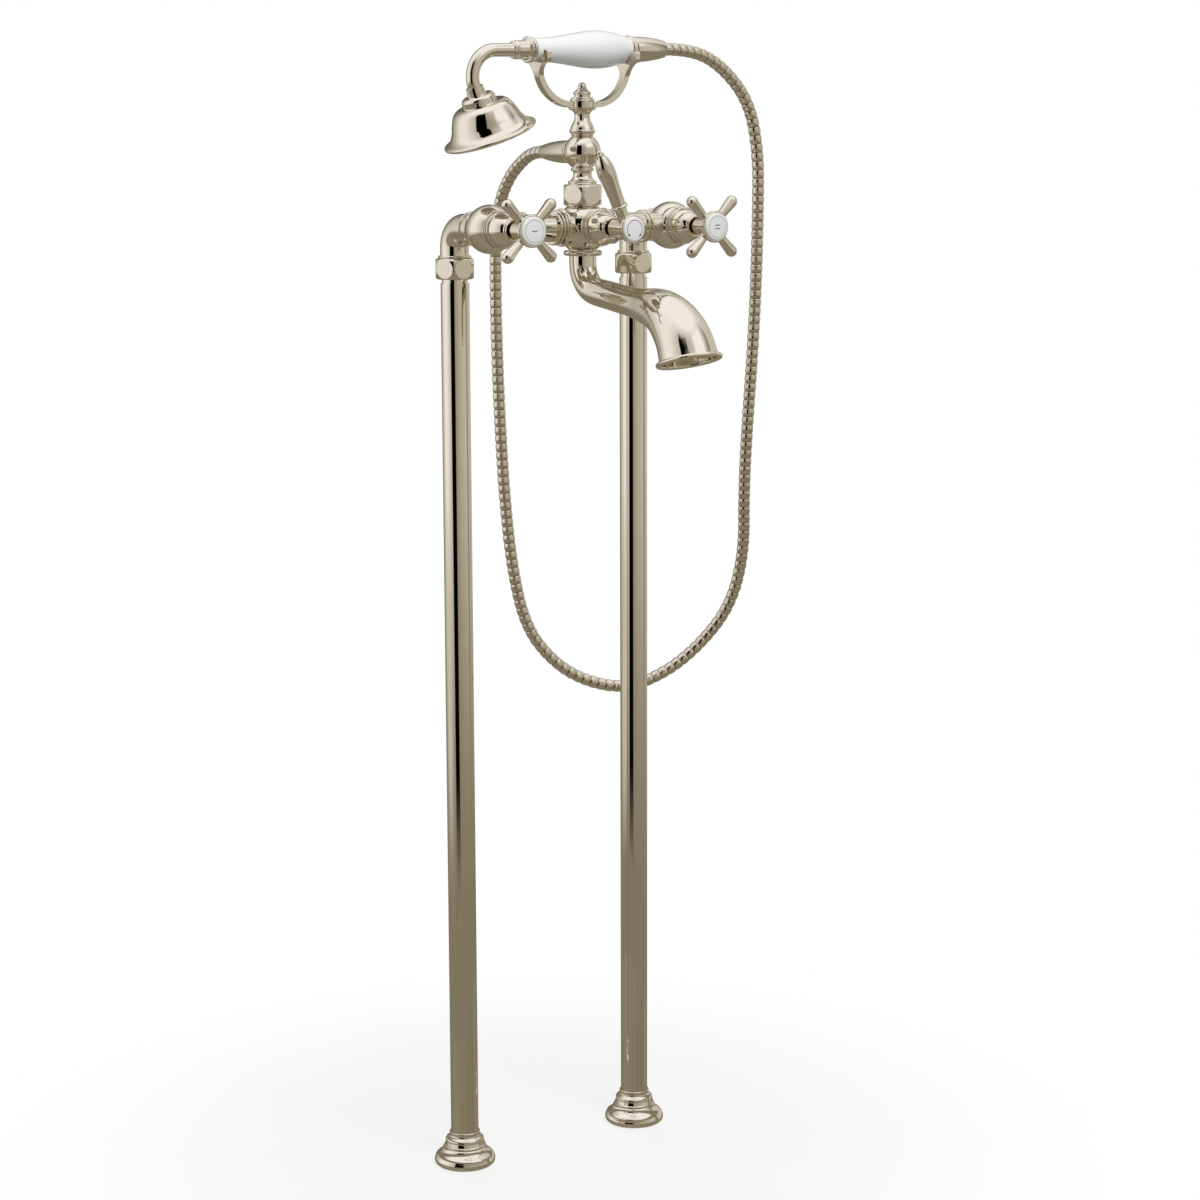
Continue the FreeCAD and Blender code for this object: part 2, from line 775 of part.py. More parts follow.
def cross_handle(side):
    """Four-armed handle: hub, cup and clubs cast in one."""
    hub = turned(hub_outline(handle_start, hub_od, hub_length, cup_od), Vector(0, 0, 0), FRONT)
    handle = hub.fuse([arm(angle) for angle in (45, 135, 225, 315)])
    handle = handle.cut(hub_bores(Vector(0, 0, 0), handle_start, handle_front, button_od))
    handle.translate(valve_base(side))
    return handle


def button(base, front, od):
    """Domed porcelain button pressed into the handle's cup."""
    radius = od / 2
    seat = front - cup_depth
    edge = button_crown / 2
    points = [(0, seat), (radius, seat), (radius, front, edge_round_share)]
    points += dome(radius - edge, front + edge, button_crown - edge)
    return turned(points, base, FRONT)


def valve_button(side):
    return button(valve_base(side), handle_front, button_od)


def handle_screw(base, front):
    """Pan-head screw that holds a handle on its stem."""
    head_top = front - cup_depth - running_gap
    head_seat = front - cup_depth - screw_head - running_gap
    tip = front - stem_end_behind - screw_grip
    shank = screw_od / 2
    head = screw_head_od / 2
    edge = screw_head / 3
    points = [(0, tip), (shank, tip), (shank, head_seat), (head, head_seat),
              (head, head_top - edge, edge_round_share), (head - edge, head_top), (0, head_top)]
    screw = turned(points, base, FRONT)
    slot_width = screw_od / 4
    corner = base + Vector(-screw_head_od, -head_top - overrun, -slot_width / 2)
    slot = Part.makeBox(2 * screw_head_od, screw_head / 3 + overrun, slot_width, corner)
    return screw.cut(slot)


def valve_screw(side):
    return handle_screw(valve_base(side), handle_front)


def centre_body():
    """Ball body that joins both crossbars, the diverter, the spout and the shower column."""
    low = -centre_bottom
    top = centre_top
    low_radius = math.sqrt(centre_radius ** 2 - low ** 2)
    top_radius = math.sqrt(centre_radius ** 2 - top ** 2)
    spigot = nut_thread_od / 2 - fit_gap
    thread_top = top + column_spigot
    turn = math.acos(low / centre_radius) - math.acos(top / centre_radius)
    points = [(0, low), (low_radius, low, math.tan(turn / 4)), (top_radius, top), (spigot, top),
              (spigot, thread_top), (0, thread_top)]
    ball = turned(points, centre_point)
    solids = []
    for side in SIDES.values():
        boss = [(0, 0), (boss_od / 2, 0)]
        boss += bead(boss_bead_od, boss_reach - 1.5 * boss_bead, boss_reach - boss_bead / 2, boss_od)
        boss += [(boss_od / 2, boss_reach), (0, boss_reach)]
        solids.append(turned(boss, centre_point, RIGHT * side))
    front = [(0, 0), (front_boss_od / 2, 0)]
    front += bead(front_bead_od, front_reach - front_bead, front_reach, front_boss_od)
    front += [(0, front_reach)]
    solids.append(turned(front, centre_point, FRONT))
    body = ball.fuse(solids).removeSplitter()
    cavity_end = front_reach + overrun
    tools = [rod(cartridge_od + 2 * fit_gap, -diverter_behind, cavity_end, centre_point, FRONT)]
    tools.append(rod(column_bore, 0, thread_top + overrun, centre_point))
    tools.append(rod(spout_od - 2 * spout_wall, low - overrun, 0, centre_point))
    tools.append(rod(spout_od + 2 * fit_gap, low - overrun, low + spout_socket, centre_point))
    for side in SIDES.values():
        tools.append(rod(crossbar_spigot_od + 2 * fit_gap, boss_reach - crossbar_spigot, boss_reach + overrun,
                         centre_point, RIGHT * side))
        tools.append(rod(port_bore, 0, boss_reach, centre_point, RIGHT * side))
    return cut_all(body, tools)


def spout_ring():
    """Turned bead that covers the spout's joint under the body."""
    top = body_height - centre_bottom
    bore = spout_od / 2 + fit_gap
    foot = spout_ring_od - spout_ring_height
    points = [(bore, top - spout_ring_height)]
    points += bead(spout_ring_od, top - spout_ring_height, top, foot)
    points += [(bore, top)]
    return turned(points, column_base)


def spout_path():
    """Stretches of the spout's centre line: length, turn and heading at the start, from straight down."""
    bend_turn = 90 - spout_slope
    return ((spout_drop, 0, 0),
            (spout_bend * math.radians(bend_turn), bend_turn, 0),
            (spout_run, 0, bend_turn),
            (spout_fall_bend * math.radians(spout_fall_turn), -spout_fall_turn, bend_turn))


def spout_station(distance):
    """Point and heading on the spout's centre line at a distance below its ring."""
    place = Vector(0, -body_reach, body_height - centre_bottom - spout_ring_height)
    left = distance
    stretches = spout_path()
    for index, (length, turn, heading) in enumerate(stretches):
        last = index == len(stretches) - 1
        step = left if last else min(left, length)
        start = math.radians(heading)
        if turn:
            end = start + math.radians(turn) * step / length
            radius = length / math.radians(turn)
            place = place + FRONT * (radius * (math.cos(start) - math.cos(end)))
            place = place - UP * (radius * (math.sin(end) - math.sin(start)))
        else:
            end = start
            place = place + FRONT * (step * math.sin(start)) - UP * (step * math.cos(start))
        left -= step
        if left <= 0:
            break
    return place, FRONT * math.sin(end) - UP * math.cos(end)


def spout_loft(inset, extra):
    """Plain tube down through the ring, then a loft along the centre line to the wide mouth."""
    total = sum(length for length, turn, heading in spout_path())
    tube = spout_od / 2 - inset
    circles = []
    for along, growth in spout_shares:
        place, heading = spout_station(total * along + (extra if along == 1 else 0))
        radius = tube + growth * (spout_mouth_od - spout_od) / 2
        circles.append(Part.Wire(Part.makeCircle(radius, place, heading)))
    top = body_height - centre_bottom + spout_socket
    neck = rod(2 * tube, top - spout_socket - spout_ring_height, top + extra, column_base)
    return Part.makeLoft(circles, True, False).fuse(neck)


def spout():
    """Cast spout that drops, runs forward and turns down to a wide rolled mouth."""
    total = sum(length for length, turn, heading in spout_path())
    place, heading = spout_station(total)
    lip = Part.makeTorus(spout_mouth_od / 2 + spout_lip_out, spout_lip / 2, place, heading)
    skin = spout_loft(0, 0).fuse(lip)
    return skin.cut(spout_loft(spout_wall, overrun)).removeSplitter()


def diverter_cartridge():
    """Sleeve with four windows that the diverter's spool turns in."""
    outer = cartridge_od / 2
    bore = spool_od / 2 + running_gap
    stem = stem_od / 2 + running_gap
    groove = stem + seal_thick
    floor = diverter_start + spool_length + running_gap
    seal_start = diverter_start + spool_length + seal_place / 2
    seal_end = seal_start + seal_thick
    points = [(bore, diverter_start), (outer, diverter_start), (outer, diverter_end), (stem, diverter_end),
              (stem, seal_end), (groove, seal_end), (groove, seal_start), (stem, seal_start), (stem, floor),
              (bore, floor)]
    sleeve = turned(points, centre_line, FRONT)
    tools = [rod(window_bore, -cartridge_od, cartridge_od, centre_point, way) for way in (RIGHT, UP)]
    return cut_all(sleeve, tools)


def diverter_spool():
    """Turning spool and stem, with an angled port that sends water up or down."""
    end = diverter_front - stem_end_behind
    shaft = stem_od / 2
    tap = screw_od / 2 + fit_gap
    tap_start = end - screw_grip - fit_gap
    spool = spool_od / 2
    top = diverter_start + spool_length
    points = [(0, diverter_start), (spool, diverter_start), (spool, top), (shaft, top), (shaft, end),
              (tap, end), (tap, tap_start), (0, tap_start)]
    solid = turned(points, centre_line, FRONT)
    tools = [rod(spool_port, 0, spool_od, centre_point, way) for way in (UP, RIGHT, LEFT)]
    return cut_all(solid, tools)


def diverter_bonnet():
    holds = diverter_end + running_gap
    points = bonnet_points(centre_front, diverter_bonnet_od, diverter_bonnet_length, holds)
    return turned(points, centre_line, FRONT)


def diverter_handle():
    """Hub with a long swelling lever that leans towards the hot side at rest."""
    hub = turned(hub_outline(diverter_handle_start, diverter_hub_od, diverter_hub_length, diverter_cup_od),
                 centre_line, FRONT)
    base = centre_line + FRONT * (diverter_front - lever_setback)
    angle = math.radians(lever_angle)
    direction = Vector(-math.sin(angle), 0, math.cos(angle))
    bead_end = lever_bead_at + lever_bead
    grip = lever_reach - bead_end
    knob_start = bead_end + grip * lever_shares[-1][1]
    points = [(0, 0), (lever_socket_od / 2, 0)]
    points += bead(lever_bead_od, lever_bead_at, bead_end, lever_socket_od)
    points += shaped(lever_shares, lever_swell_od / 2, bead_end, grip)
    points += dome(lever_tip_od / 2 * lever_knob_share, knob_start, lever_reach - knob_start)
    lever = turned(points, base, direction)
    handle = hub.fuse(lever)
    return handle.cut(hub_bores(centre_line, diverter_handle_start, diverter_front, diverter_button_od))


def diverter_button():
    return button(centre_line, diverter_front, diverter_button_od)


def diverter_screw():
    return handle_screw(centre_line, diverter_front)


def column_nut():
    shank_bore = column_shank_od + 2 * running_gap
    return union_nut(column_base + UP * column_nut_bottom, nut_thread_od, shank_bore, False)


def shower_column():
    """Turned post with a foot, a hollow ball for the hose outlet, a baluster and a cup for the cradle."""
    flange = column_flange_od / 2
    shank = column_shank_od / 2
    neck = column_ball_neck_od / 2
    shank_start = column_seat + column_flange_thick
    foot_start = column_nut_top + column_shank_show
    ball_low = column_ball_z - column_ball_drop
    ball_high = column_ball_z + column_ball_drop
    ball_bulge = math.tan(math.acos(neck / column_ball_radius) / 2)
    points = [(0, column_seat), (flange, column_seat), (flange, shank_start), (shank, shank_start),
              (shank, foot_start)]
    points += shaped(foot_shares, foot_od / 2, foot_start, ball_low - foot_start)
    points += [(neck, ball_low, ball_bulge), (neck, ball_high)]
    points += shaped(column_cup_shares, column_cup_od / 2, ball_high, column_cup_height)
    points += [(0, cradle_z)]
    column = turned(points, column_base)
    ball_centre = column_base + UP * column_ball_z
    boss_end = column_ball_radius + outlet_boss
    boss = rod(outlet_boss_od, 0, boss_end, ball_centre, BACK)
    thread = rod(outlet_thread_od, 0, boss_end + outlet_thread, ball_centre, BACK)
    column = column.fuse([boss, thread]).removeSplitter()
    tools = [rod(column_bore, column_seat - overrun, column_ball_z, column_base)]
    tools.append(rod(hose_nut_bore, 0, boss_end + outlet_thread + overrun, ball_centre, BACK))
    tools.append(rod(stud_od + 2 * fit_gap, cradle_z - stud_depth - overrun, cradle_z + overrun, column_base))
    return cut_all(column, tools)


def strap_outline(offset):
    """Half of the cradle's strap line, from the middle out and up, at an offset from its underside."""
    bend = strap_bend + strap_thick / 2 - offset
    centre = Vector(strap_flat / 2, 0, cradle_z + strap_bend + strap_thick / 2)
    corner = math.sqrt(0.5)
    low = Vector(centre.x, 0, centre.z - bend)
    side = Vector(centre.x + bend, 0, centre.z)
    middle = Vector(centre.x + bend * corner, 0, centre.z - bend * corner)
    top = Vector(side.x, 0, handset_height)
    return low, middle, side, top


def cradle_yoke():
    """Flat strap bent to a U, spread at both ends into forks that hold the grip."""
    edges = []
    outer = strap_outline(0)
    inner = strap_outline(strap_thick)
    for mirror in (1, -1):
        flip = [Vector(mirror * p.x, 0, p.z) for p in outer]
        back = [Vector(mirror * p.x, 0, p.z) for p in inner]
        edges.append(Part.Arc(flip[0], flip[1], flip[2]).toShape())
        edges.append(Part.LineSegment(flip[2], flip[3]).toShape())
        edges.append(Part.LineSegment(flip[3], back[3]).toShape())
        edges.append(Part.LineSegment(back[3], back[2]).toShape())
        edges.append(Part.Arc(back[2], back[1], back[0]).toShape())
    for level in (outer, inner):
        edges.append(Part.LineSegment(level[0], Vector(-level[0].x, 0, level[0].z)).toShape())
    profile = Part.Face(Part.Wire(Part.__sortEdges__(edges)))
    strap = profile.extrude(FRONT * 2 * fork_spread)
    strap.translate(BACK * (fork_spread - body_reach))
    half = strap_width / 2
    spread = fork_spread / 2 - half
    flare = handset_height - fork_rise
    rise = fork_rise - fork_tip_below
    right = [(half + spread * across, flare + rise * along, bulge) for across, along, bulge in fork_shares]
    bulges = [bulge for across, along, bulge in right[-2::-1]] + [0]
    left = [(-across, along, bulge) for (across, along, own), bulge in zip(right[::-1], bulges)]
    side_points = [(half, cradle_z - overrun)] + right + left + [(-half, cradle_z - overrun)]
    front = Part.Face(Part.Wire(outline_edges(side_points)))
    front.rotate(Vector(0, 0, 0), UP, 90)
    slab = front.extrude(RIGHT * 4 * fork_place)
    slab.translate(LEFT * 2 * fork_place + FRONT * body_reach)
    yoke = strap.common(slab)
    eye = rod(eye_od, cradle_z, cradle_z + strap_thick, column_base)
    yoke = yoke.fuse(eye).removeSplitter()
    tools = [rod(stud_od + 2 * fit_gap, cradle_z - overrun, cradle_z + strap_thick + overrun, column_base)]
    seat_centre = handset_base + UP * rear_lift() / 2
    seat_od = rear_ring_od + 2 * seat_gap
    reach = 2 * strap_thick
    for side in SIDES.values():
        tools.append(rod(seat_od, fork_place - reach, fork_place + reach, seat_centre, RIGHT * side))
    return cut_all(yoke, tools)


def grip_outline():
    """Outline of the porcelain grip: a slim waist, a swelling and a short rear taper."""
    return shaped(grip_shares, grip_swell_od / 2, 0, grip_length)


def grip_radius(x):
    """Radius of the porcelain grip at a place along its axis."""
    place = min(max(x - grip_start, 0), grip_length)
    outline = grip_outline()
    for (near, low, bulge), (far, high, unused) in zip(outline, outline[1:]):
        if place <= high:
            along = (place - low) / (high - low)
            chord = math.hypot(far - near, high - low)
            return near + (far - near) * along + 2 * bulge * chord * along * (1 - along)


def rear_lift():
    """Height by which the rear ring, in its fork, lifts the handset's axis above the slim front end."""
    return rear_ring_od / 2 - grip_radius(strap_thick / 2 - fork_place)


def handset_lean():
    """Turn of the hanging handset, whose rear end lies higher in forks of one size."""
    return FreeCAD.Rotation(FRONT, math.degrees(math.asin(rear_lift() / (2 * fork_place))))


def leaned(shape):
    """Handset piece brought from its level axis to the lean at which it hangs."""
    shape.rotate(handset_base, handset_lean().Axis, math.degrees(handset_lean().Angle))
    return shape


def finial():
    """Turned cap nut with a stud that clamps the cradle on the column."""
    base = cradle_z + strap_thick
    stud = stud_od / 2
    ball = finial_ball_od / 2
    neck = ball * ball_neck_share
    points = [(0, cradle_z - stud_depth), (stud, cradle_z - stud_depth), (stud, base)]
    points += shaped(finial_shares, finial_od / 2, base, finial_height)
    points += dome(neck, base + finial_height, ball + math.sqrt(ball ** 2 - neck ** 2))
    return turned(points, column_base)


def taper_nut(base, direction, length, od, end_od):
    """Long tapering nut that clamps a hose end on its thread over a washer."""
    thread = outlet_thread_od / 2 + fit_gap
    seat = outlet_thread + hose_washer
    bore = hose_nut_bore / 2
    edge = hose_washer / 2
    wide = od / 2
    narrow = end_od / 2
    barrel = length * nut_barrel_share
    points = [(thread, 0), (wide - edge, 0, edge_round_share), (wide, edge), (wide, barrel, nut_taper_share),
              (narrow, length - edge, edge_round_share), (narrow - edge, length), (bore, length),
              (bore, seat), (thread, seat)]
    return turned(points, base, direction)


def outlet_nut():
    base = Vector(0, outlet_face, column_ball_z)
    return taper_nut(base, BACK, hose_nut_length, hose_nut_od, hose_nut_end_od)


def handset_nut():
    base = handset_base + RIGHT * handset_nut_start
    return taper_nut(base, RIGHT, handset_nut_length, handset_nut_od, handset_nut_end_od)


def hose_washer_ring(base, direction):
    outer = outlet_thread_od / 2 - running_gap
    bore = hose_nut_bore / 2
    points = [(bore, 0), (outer, 0), (outer, hose_washer), (bore, hose_washer)]
    return turned(points, base, direction)


def outlet_washer():
    return hose_washer_ring(Vector(0, outlet_face + outlet_thread, column_ball_z), BACK)


def handset_washer():
    return hose_washer_ring(handset_base + RIGHT * (handset_nut_start + outlet_thread), RIGHT)


def hose_points():
    """Corners of the hose's route, with both ends straight out of their nuts."""
    start = Vector(0, hose_start, column_ball_z)
    heading = handset_lean().multVec(RIGHT)
    end = handset_base + heading * hose_end
    hang = [Vector(*point) for point in hose_hang]
    return [start, start + BACK * hose_start_run] + hang + [end + heading * hose_end_run, end]


def hose_path():
    """Straight runs and tangent arcs of the hose, each with its start, heading and length."""
    points = hose_points()
    cuts = []
    radii = []
    for before, here, after in zip(points, points[1:], points[2:]):
        run_in = here - before
        run_out = after - here
        turn = run_in.getAngle(run_out)
        trim = bend_share * min(run_in.Length, run_out.Length)
        radii.append(trim / math.tan(turn / 2))
        cuts.append((trim, turn))
    print("hose bend radii", [round(radius, 1) for radius in radii])
    stretches = []
    start = points[0]
    for here, after, (trim, turn) in zip(points[1:], points[2:], cuts):
        arrive = (here - start).normalize()
        leave = (after - here).normalize()
        arc_start = here - arrive * trim
        stretches.append(("run", start, arrive, (arc_start - start).Length, None, 0))
        radius = trim / math.tan(turn / 2)
        inward = (leave - arrive * arrive.dot(leave)).normalize()
        stretches.append(("arc", arc_start, arrive, radius * turn, inward, radius))
        start = here + leave * trim
    last = points[-1] - start
    stretches.append(("run", start, Vector(last).normalize(), last.Length, None, 0))
    return stretches


def hose_station(stretches, distance):
    """Point and heading on the hose at a distance from its start."""
    left = distance
    for kind, start, heading, length, inward, radius in stretches:
        if left <= length or (kind, start) == stretches[-1][:2]:
            if kind == "run":
                return start + heading * left, heading
            angle = left / radius
            point = start + heading * (radius * math.sin(angle))
            point = point + inward * (radius * (1 - math.cos(angle)))
            return point, heading * math.cos(angle) + inward * math.sin(angle)
        left -= length


def hose_wires(stretches, stations):
    """Circles along the hose, turned so that their seams run straight along it."""
    wires = []
    steady = UP
    for distance, radius in stations:
        place, heading = hose_station(stretches, distance)
        steady = (steady - heading * steady.dot(heading)).normalize()
        wire = Part.Wire(Part.makeCircle(radius))
        turn = FreeCAD.Rotation(steady, heading.cross(steady), heading, "ZXY")
        wire.Placement = FreeCAD.Placement(place, turn)
        wires.append(wire)
    return wires


def hose():
    """Ribbed metal hose: a bore, and ribs like the turns of its interlocked strip."""
    stretches = hose_path()
    total = sum(stretch[3] for stretch in stretches)
    straight = hose_od
    pitch = (total - 2 * straight) / hose_ribs
    groove = hose_groove_od / 2
    crest = hose_od / 2
    stations = [(0, groove)]
    for rib in range(hose_ribs):
        for share, radius in zip(hose_rib_shares, (groove, crest, crest, groove)):
            stations.append((straight + (rib + share) * pitch, radius))
    stations.append((total, groove))
    skin = Part.makeLoft(hose_wires(stretches, stations), True, True)
    bore_stations = [(straight + rib * pitch, hose_bore / 2) for rib in range(hose_ribs + 1)]
    bore_stations = [(-overrun, hose_bore / 2)] + bore_stations + [(total + overrun, hose_bore / 2)]
    bore = Part.makeLoft(hose_wires(stretches, bore_stations), True, True)
    tube = skin.cut(bore)
    centres = [hose_station(stretches, total * step / hose_samples)[0] for step in range(hose_samples + 1)]
    far = int(hose_samples * hose_apart / total) + 1
    least = min(a.distanceToPoint(b) for i, a in enumerate(centres) for b in centres[i + far:])
    mean = (groove ** 2 + crest ** 2) / 2 - (hose_bore / 2) ** 2
    print("hose length", round(total, 1), "least gap", round(least - hose_od, 1))
    print("hose volume share", round(tube.Volume / (math.pi * mean * total), 3))
    return tube


def handset_grip():
    """Porcelain spindle that swells towards the hose end."""
    bore = core_od / 2 + running_gap
    points = [(bore, 0)] + grip_outline() + [(bore, grip_length)]
    return turned(points, handset_base + RIGHT * grip_start, RIGHT)


def handset_core():
    """Brass tube that carries water through the grip and ties the two collars together."""
    start = collar_start + neck_socket + running_gap
    end = handset_nut_start
    outer = core_od / 2
    bore = core_bore / 2
    return turned([(bore, start), (outer, start), (outer, end), (bore, end)], handset_base, RIGHT)


def front_collar():
    """Turned collar between the neck tube and the grip."""
    socket = neck_od / 2 + fit_gap
    bore = core_od / 2 + fit_gap
    socket_end = collar_start + neck_socket
    points = [(socket, collar_start)]
    points += shaped(front_collar_shares, collar_od / 2, collar_start, front_collar_length)
    points += [(bore, grip_start), (bore, socket_end), (socket, socket_end)]
    return turned(points, handset_base, RIGHT)


def rear_collar():
    """Turned collar behind the grip, with the thread for the hose nut."""
    thread = outlet_thread_od / 2
    bore = core_od / 2 + fit_gap
    water = hose_nut_bore / 2
    end = handset_nut_start + outlet_thread
    points = [(bore, grip_end)]
    points += bead(rear_ring_od, grip_end, grip_end + rear_ring, rear_waist_od)
    points += [(rear_waist_od / 2, handset_nut_start), (thread, handset_nut_start), (thread, end),
               (water, end), (water, handset_nut_start), (bore, handset_nut_start)]
    return turned(points, handset_base, RIGHT)


def neck_end():
    """Point and heading where the neck tube ends in the bell's socket."""
    turn = math.radians(neck_turn)
    centre = handset_base + RIGHT * (collar_start - neck_straight) - UP * neck_bend
    point = centre + LEFT * (neck_bend * math.sin(turn)) + UP * (neck_bend * math.cos(turn))
    heading = LEFT * math.cos(turn) - UP * math.sin(turn)
    return point, heading


def handset_neck():
    """Bent tube from the collar over and down to the bell."""
    outer = neck_od / 2
    bore = outer - neck_wall
    start = collar_start + neck_socket
    bend_start = collar_start - neck_straight
    straight = turned([(bore, 0), (outer, 0), (outer, start - bend_start), (bore, start - bend_start)],
                      handset_base + RIGHT * start, LEFT)
    ring = Part.Face([Part.Wire(Part.makeCircle(outer)), Part.Wire(Part.makeCircle(bore))])
    ring.Placement = axis_place(handset_base + RIGHT * bend_start, LEFT)
    bend = ring.revolve(handset_base + RIGHT * bend_start - UP * neck_bend, FRONT, neck_turn)
    point, heading = neck_end()
    tail = turned([(bore, 0), (outer, 0), (outer, neck_tail), (bore, neck_tail)], point, heading)
    return straight.fuse([bend, tail]).removeSplitter()


def shower_bell():
    """Spun bell of the hand shower, with a stepped crown and a rolled rim."""
    point, heading = neck_end()
    rim = bell_rim_od / 2
    socket_bore = neck_od / 2 + fit_gap
    water = neck_od / 2 - neck_wall
    plate = spray_plate_od / 2 + running_gap
    inside_top = bell_height * bell_crown_share + bell_wall
    plate_top = bell_height - spray_recess - spray_plate_thick - gasket_thick
    points = [(socket_bore, 0)] + shaped(bell_shares, rim, 0, bell_height)
    points += [(plate, bell_height), (plate, plate_top), (plate - gasket_wide, plate_top)]
    points += [(rim * across, bell_height * along) for across, along in bell_hollow_shares]
    points += [(water, inside_top), (water, neck_tail), (socket_bore, neck_tail)]
    return turned(points, point, heading)


def spray_gasket():
    point, heading = neck_end()
    top = bell_height - spray_recess - spray_plate_thick - gasket_thick
    outer = spray_plate_od / 2
    inner = outer - gasket_wide
    points = [(inner, top), (outer, top), (outer, top + gasket_thick), (inner, top + gasket_thick)]
    return turned(points, point, heading)


def spray_plate():
    """Perforated face plate of the hand shower."""
    point, heading = neck_end()
    top = bell_height - spray_recess - spray_plate_thick
    outer = spray_plate_od / 2
    plate = turned([(0, top), (outer, top), (outer, top + spray_plate_thick), (0, top + spray_plate_thick)],
                   Vector(0, 0, 0))
    holes = []
    for ring, share in enumerate(spray_ring_shares, 1):
        count = ring * spray_holes
        for number in range(count):
            angle = 2 * math.pi * number / count
            centre = Vector(outer * share * math.cos(angle), outer * share * math.sin(angle), 0)
            holes.append(rod(spray_hole, top - overrun, top + spray_plate_thick + overrun, centre))
    plate = cut_all(plate, holes)
    plate.Placement = axis_place(point, heading)
    return plate


SIDE_PIECES = {
    "floor_flange": floor_flange, "riser": riser, "inlet_bush": inlet_bush, "union_nut": riser_nut,
    "elbow": elbow, "valve_body": valve_body, "crossbar": crossbar, "valve_cartridge": cartridge,
    "fixed_disc": fixed_disc, "moving_disc": moving_disc, "valve_stem": valve_stem,
    "valve_bonnet": valve_bonnet, "cross_handle": cross_handle, "handle_button": valve_button,
    "handle_screw": valve_screw,
}
SINGLE_PIECES = {
    "union_washers": union_washers, "stem_seals": stem_seals, "centre_body": centre_body,
    "spout_ring": spout_ring, "spout": spout, "diverter_cartridge": diverter_cartridge,
    "diverter_spool": diverter_spool, "diverter_bonnet": diverter_bonnet, "diverter_lever": diverter_handle,
    "diverter_button": diverter_button, "diverter_screw": diverter_screw, "column_nut": column_nut,
    "shower_column": shower_column, "cradle_yoke": cradle_yoke, "finial": finial,
    "hose_outlet_nut": outlet_nut, "outlet_washer": outlet_washer, "shower_hose": hose,
}
HANDSET_PIECES = {
    "hose_handset_nut": handset_nut, "handset_washer": handset_washer, "handset_grip": handset_grip,
    "handset_core": handset_core, "front_collar": front_collar, "rear_collar": rear_collar,
    "handset_neck": handset_neck, "shower_bell": shower_bell, "spray_gasket": spray_gasket,
    "spray_plate": spray_plate,
}

os.makedirs("parts", exist_ok=True)
for name, make in SINGLE_PIECES.items():
    make().exportStep("parts/" + name + ".step")
for name, make in HANDSET_PIECES.items():
    leaned(make()).exportStep("parts/" + name + ".step")
for prefix, side in SIDES.items():
    for name, make in SIDE_PIECES.items():
        make(side).exportStep("parts/" + prefix + "_" + name + ".step")
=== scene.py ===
import math

import bpy
from mathutils import Matrix, Vector


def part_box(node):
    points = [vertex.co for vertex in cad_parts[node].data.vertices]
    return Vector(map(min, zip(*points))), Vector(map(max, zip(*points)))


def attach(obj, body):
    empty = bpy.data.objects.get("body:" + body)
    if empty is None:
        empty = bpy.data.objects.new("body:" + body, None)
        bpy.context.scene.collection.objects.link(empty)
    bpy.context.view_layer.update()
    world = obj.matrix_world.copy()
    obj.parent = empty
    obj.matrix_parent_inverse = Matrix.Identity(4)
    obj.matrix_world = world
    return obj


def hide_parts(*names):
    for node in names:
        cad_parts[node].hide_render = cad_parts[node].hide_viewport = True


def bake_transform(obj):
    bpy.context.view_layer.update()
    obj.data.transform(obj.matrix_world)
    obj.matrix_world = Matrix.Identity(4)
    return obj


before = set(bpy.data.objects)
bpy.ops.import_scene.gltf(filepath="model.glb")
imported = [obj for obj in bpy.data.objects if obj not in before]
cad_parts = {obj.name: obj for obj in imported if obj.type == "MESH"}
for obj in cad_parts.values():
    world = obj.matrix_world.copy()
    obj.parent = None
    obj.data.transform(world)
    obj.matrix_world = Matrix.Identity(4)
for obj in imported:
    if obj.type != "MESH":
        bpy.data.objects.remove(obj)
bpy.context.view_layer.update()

# Floor flanges and risers
# A stepped bell hides each hole in the floor, and a brass leg tube stands in it on a solder bush.
# All of it is polished brass that is plated with nickel, so it mirrors the room with a warm tint.


def hex_to_linear(code):
    """Turns an sRGB hex colour into linear red, green, blue and alpha."""
    parts = [int(code[i:i + 2], 16) / 255 for i in (1, 3, 5)]
    linear = [c / 12.92 if c <= 0.04045 else ((c + 0.055) / 1.055) ** 2.4 for c in parts]
    return (*linear, 1.0)


def add_node(tree, kind, inputs=None, **settings):
    """Adds one node with its settings, and fills or links its inputs."""
    made = tree.nodes.new(kind)
    for name, value in settings.items():
        setattr(made, name, value)
    for name, value in (inputs or {}).items():
        if isinstance(value, bpy.types.NodeSocket):
            tree.links.new(value, made.inputs[name])
        else:
            made.inputs[name].default_value = value
    return made


def new_finish(name):
    """An empty node material with its output node."""
    finish = bpy.data.materials.new(name)
    finish.use_nodes = True
    finish.node_tree.nodes.clear()
    tree = finish.node_tree
    place = add_node(tree, "ShaderNodeTexCoord").outputs["Object"]
    surface = add_node(tree, "ShaderNodeOutputMaterial").inputs["Surface"]
    return finish, tree, place, surface


def dress(finish, *nodes):
    """Gives CAD nodes their finish."""
    for name in nodes:
        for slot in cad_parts[name].material_slots:
            slot.material = finish


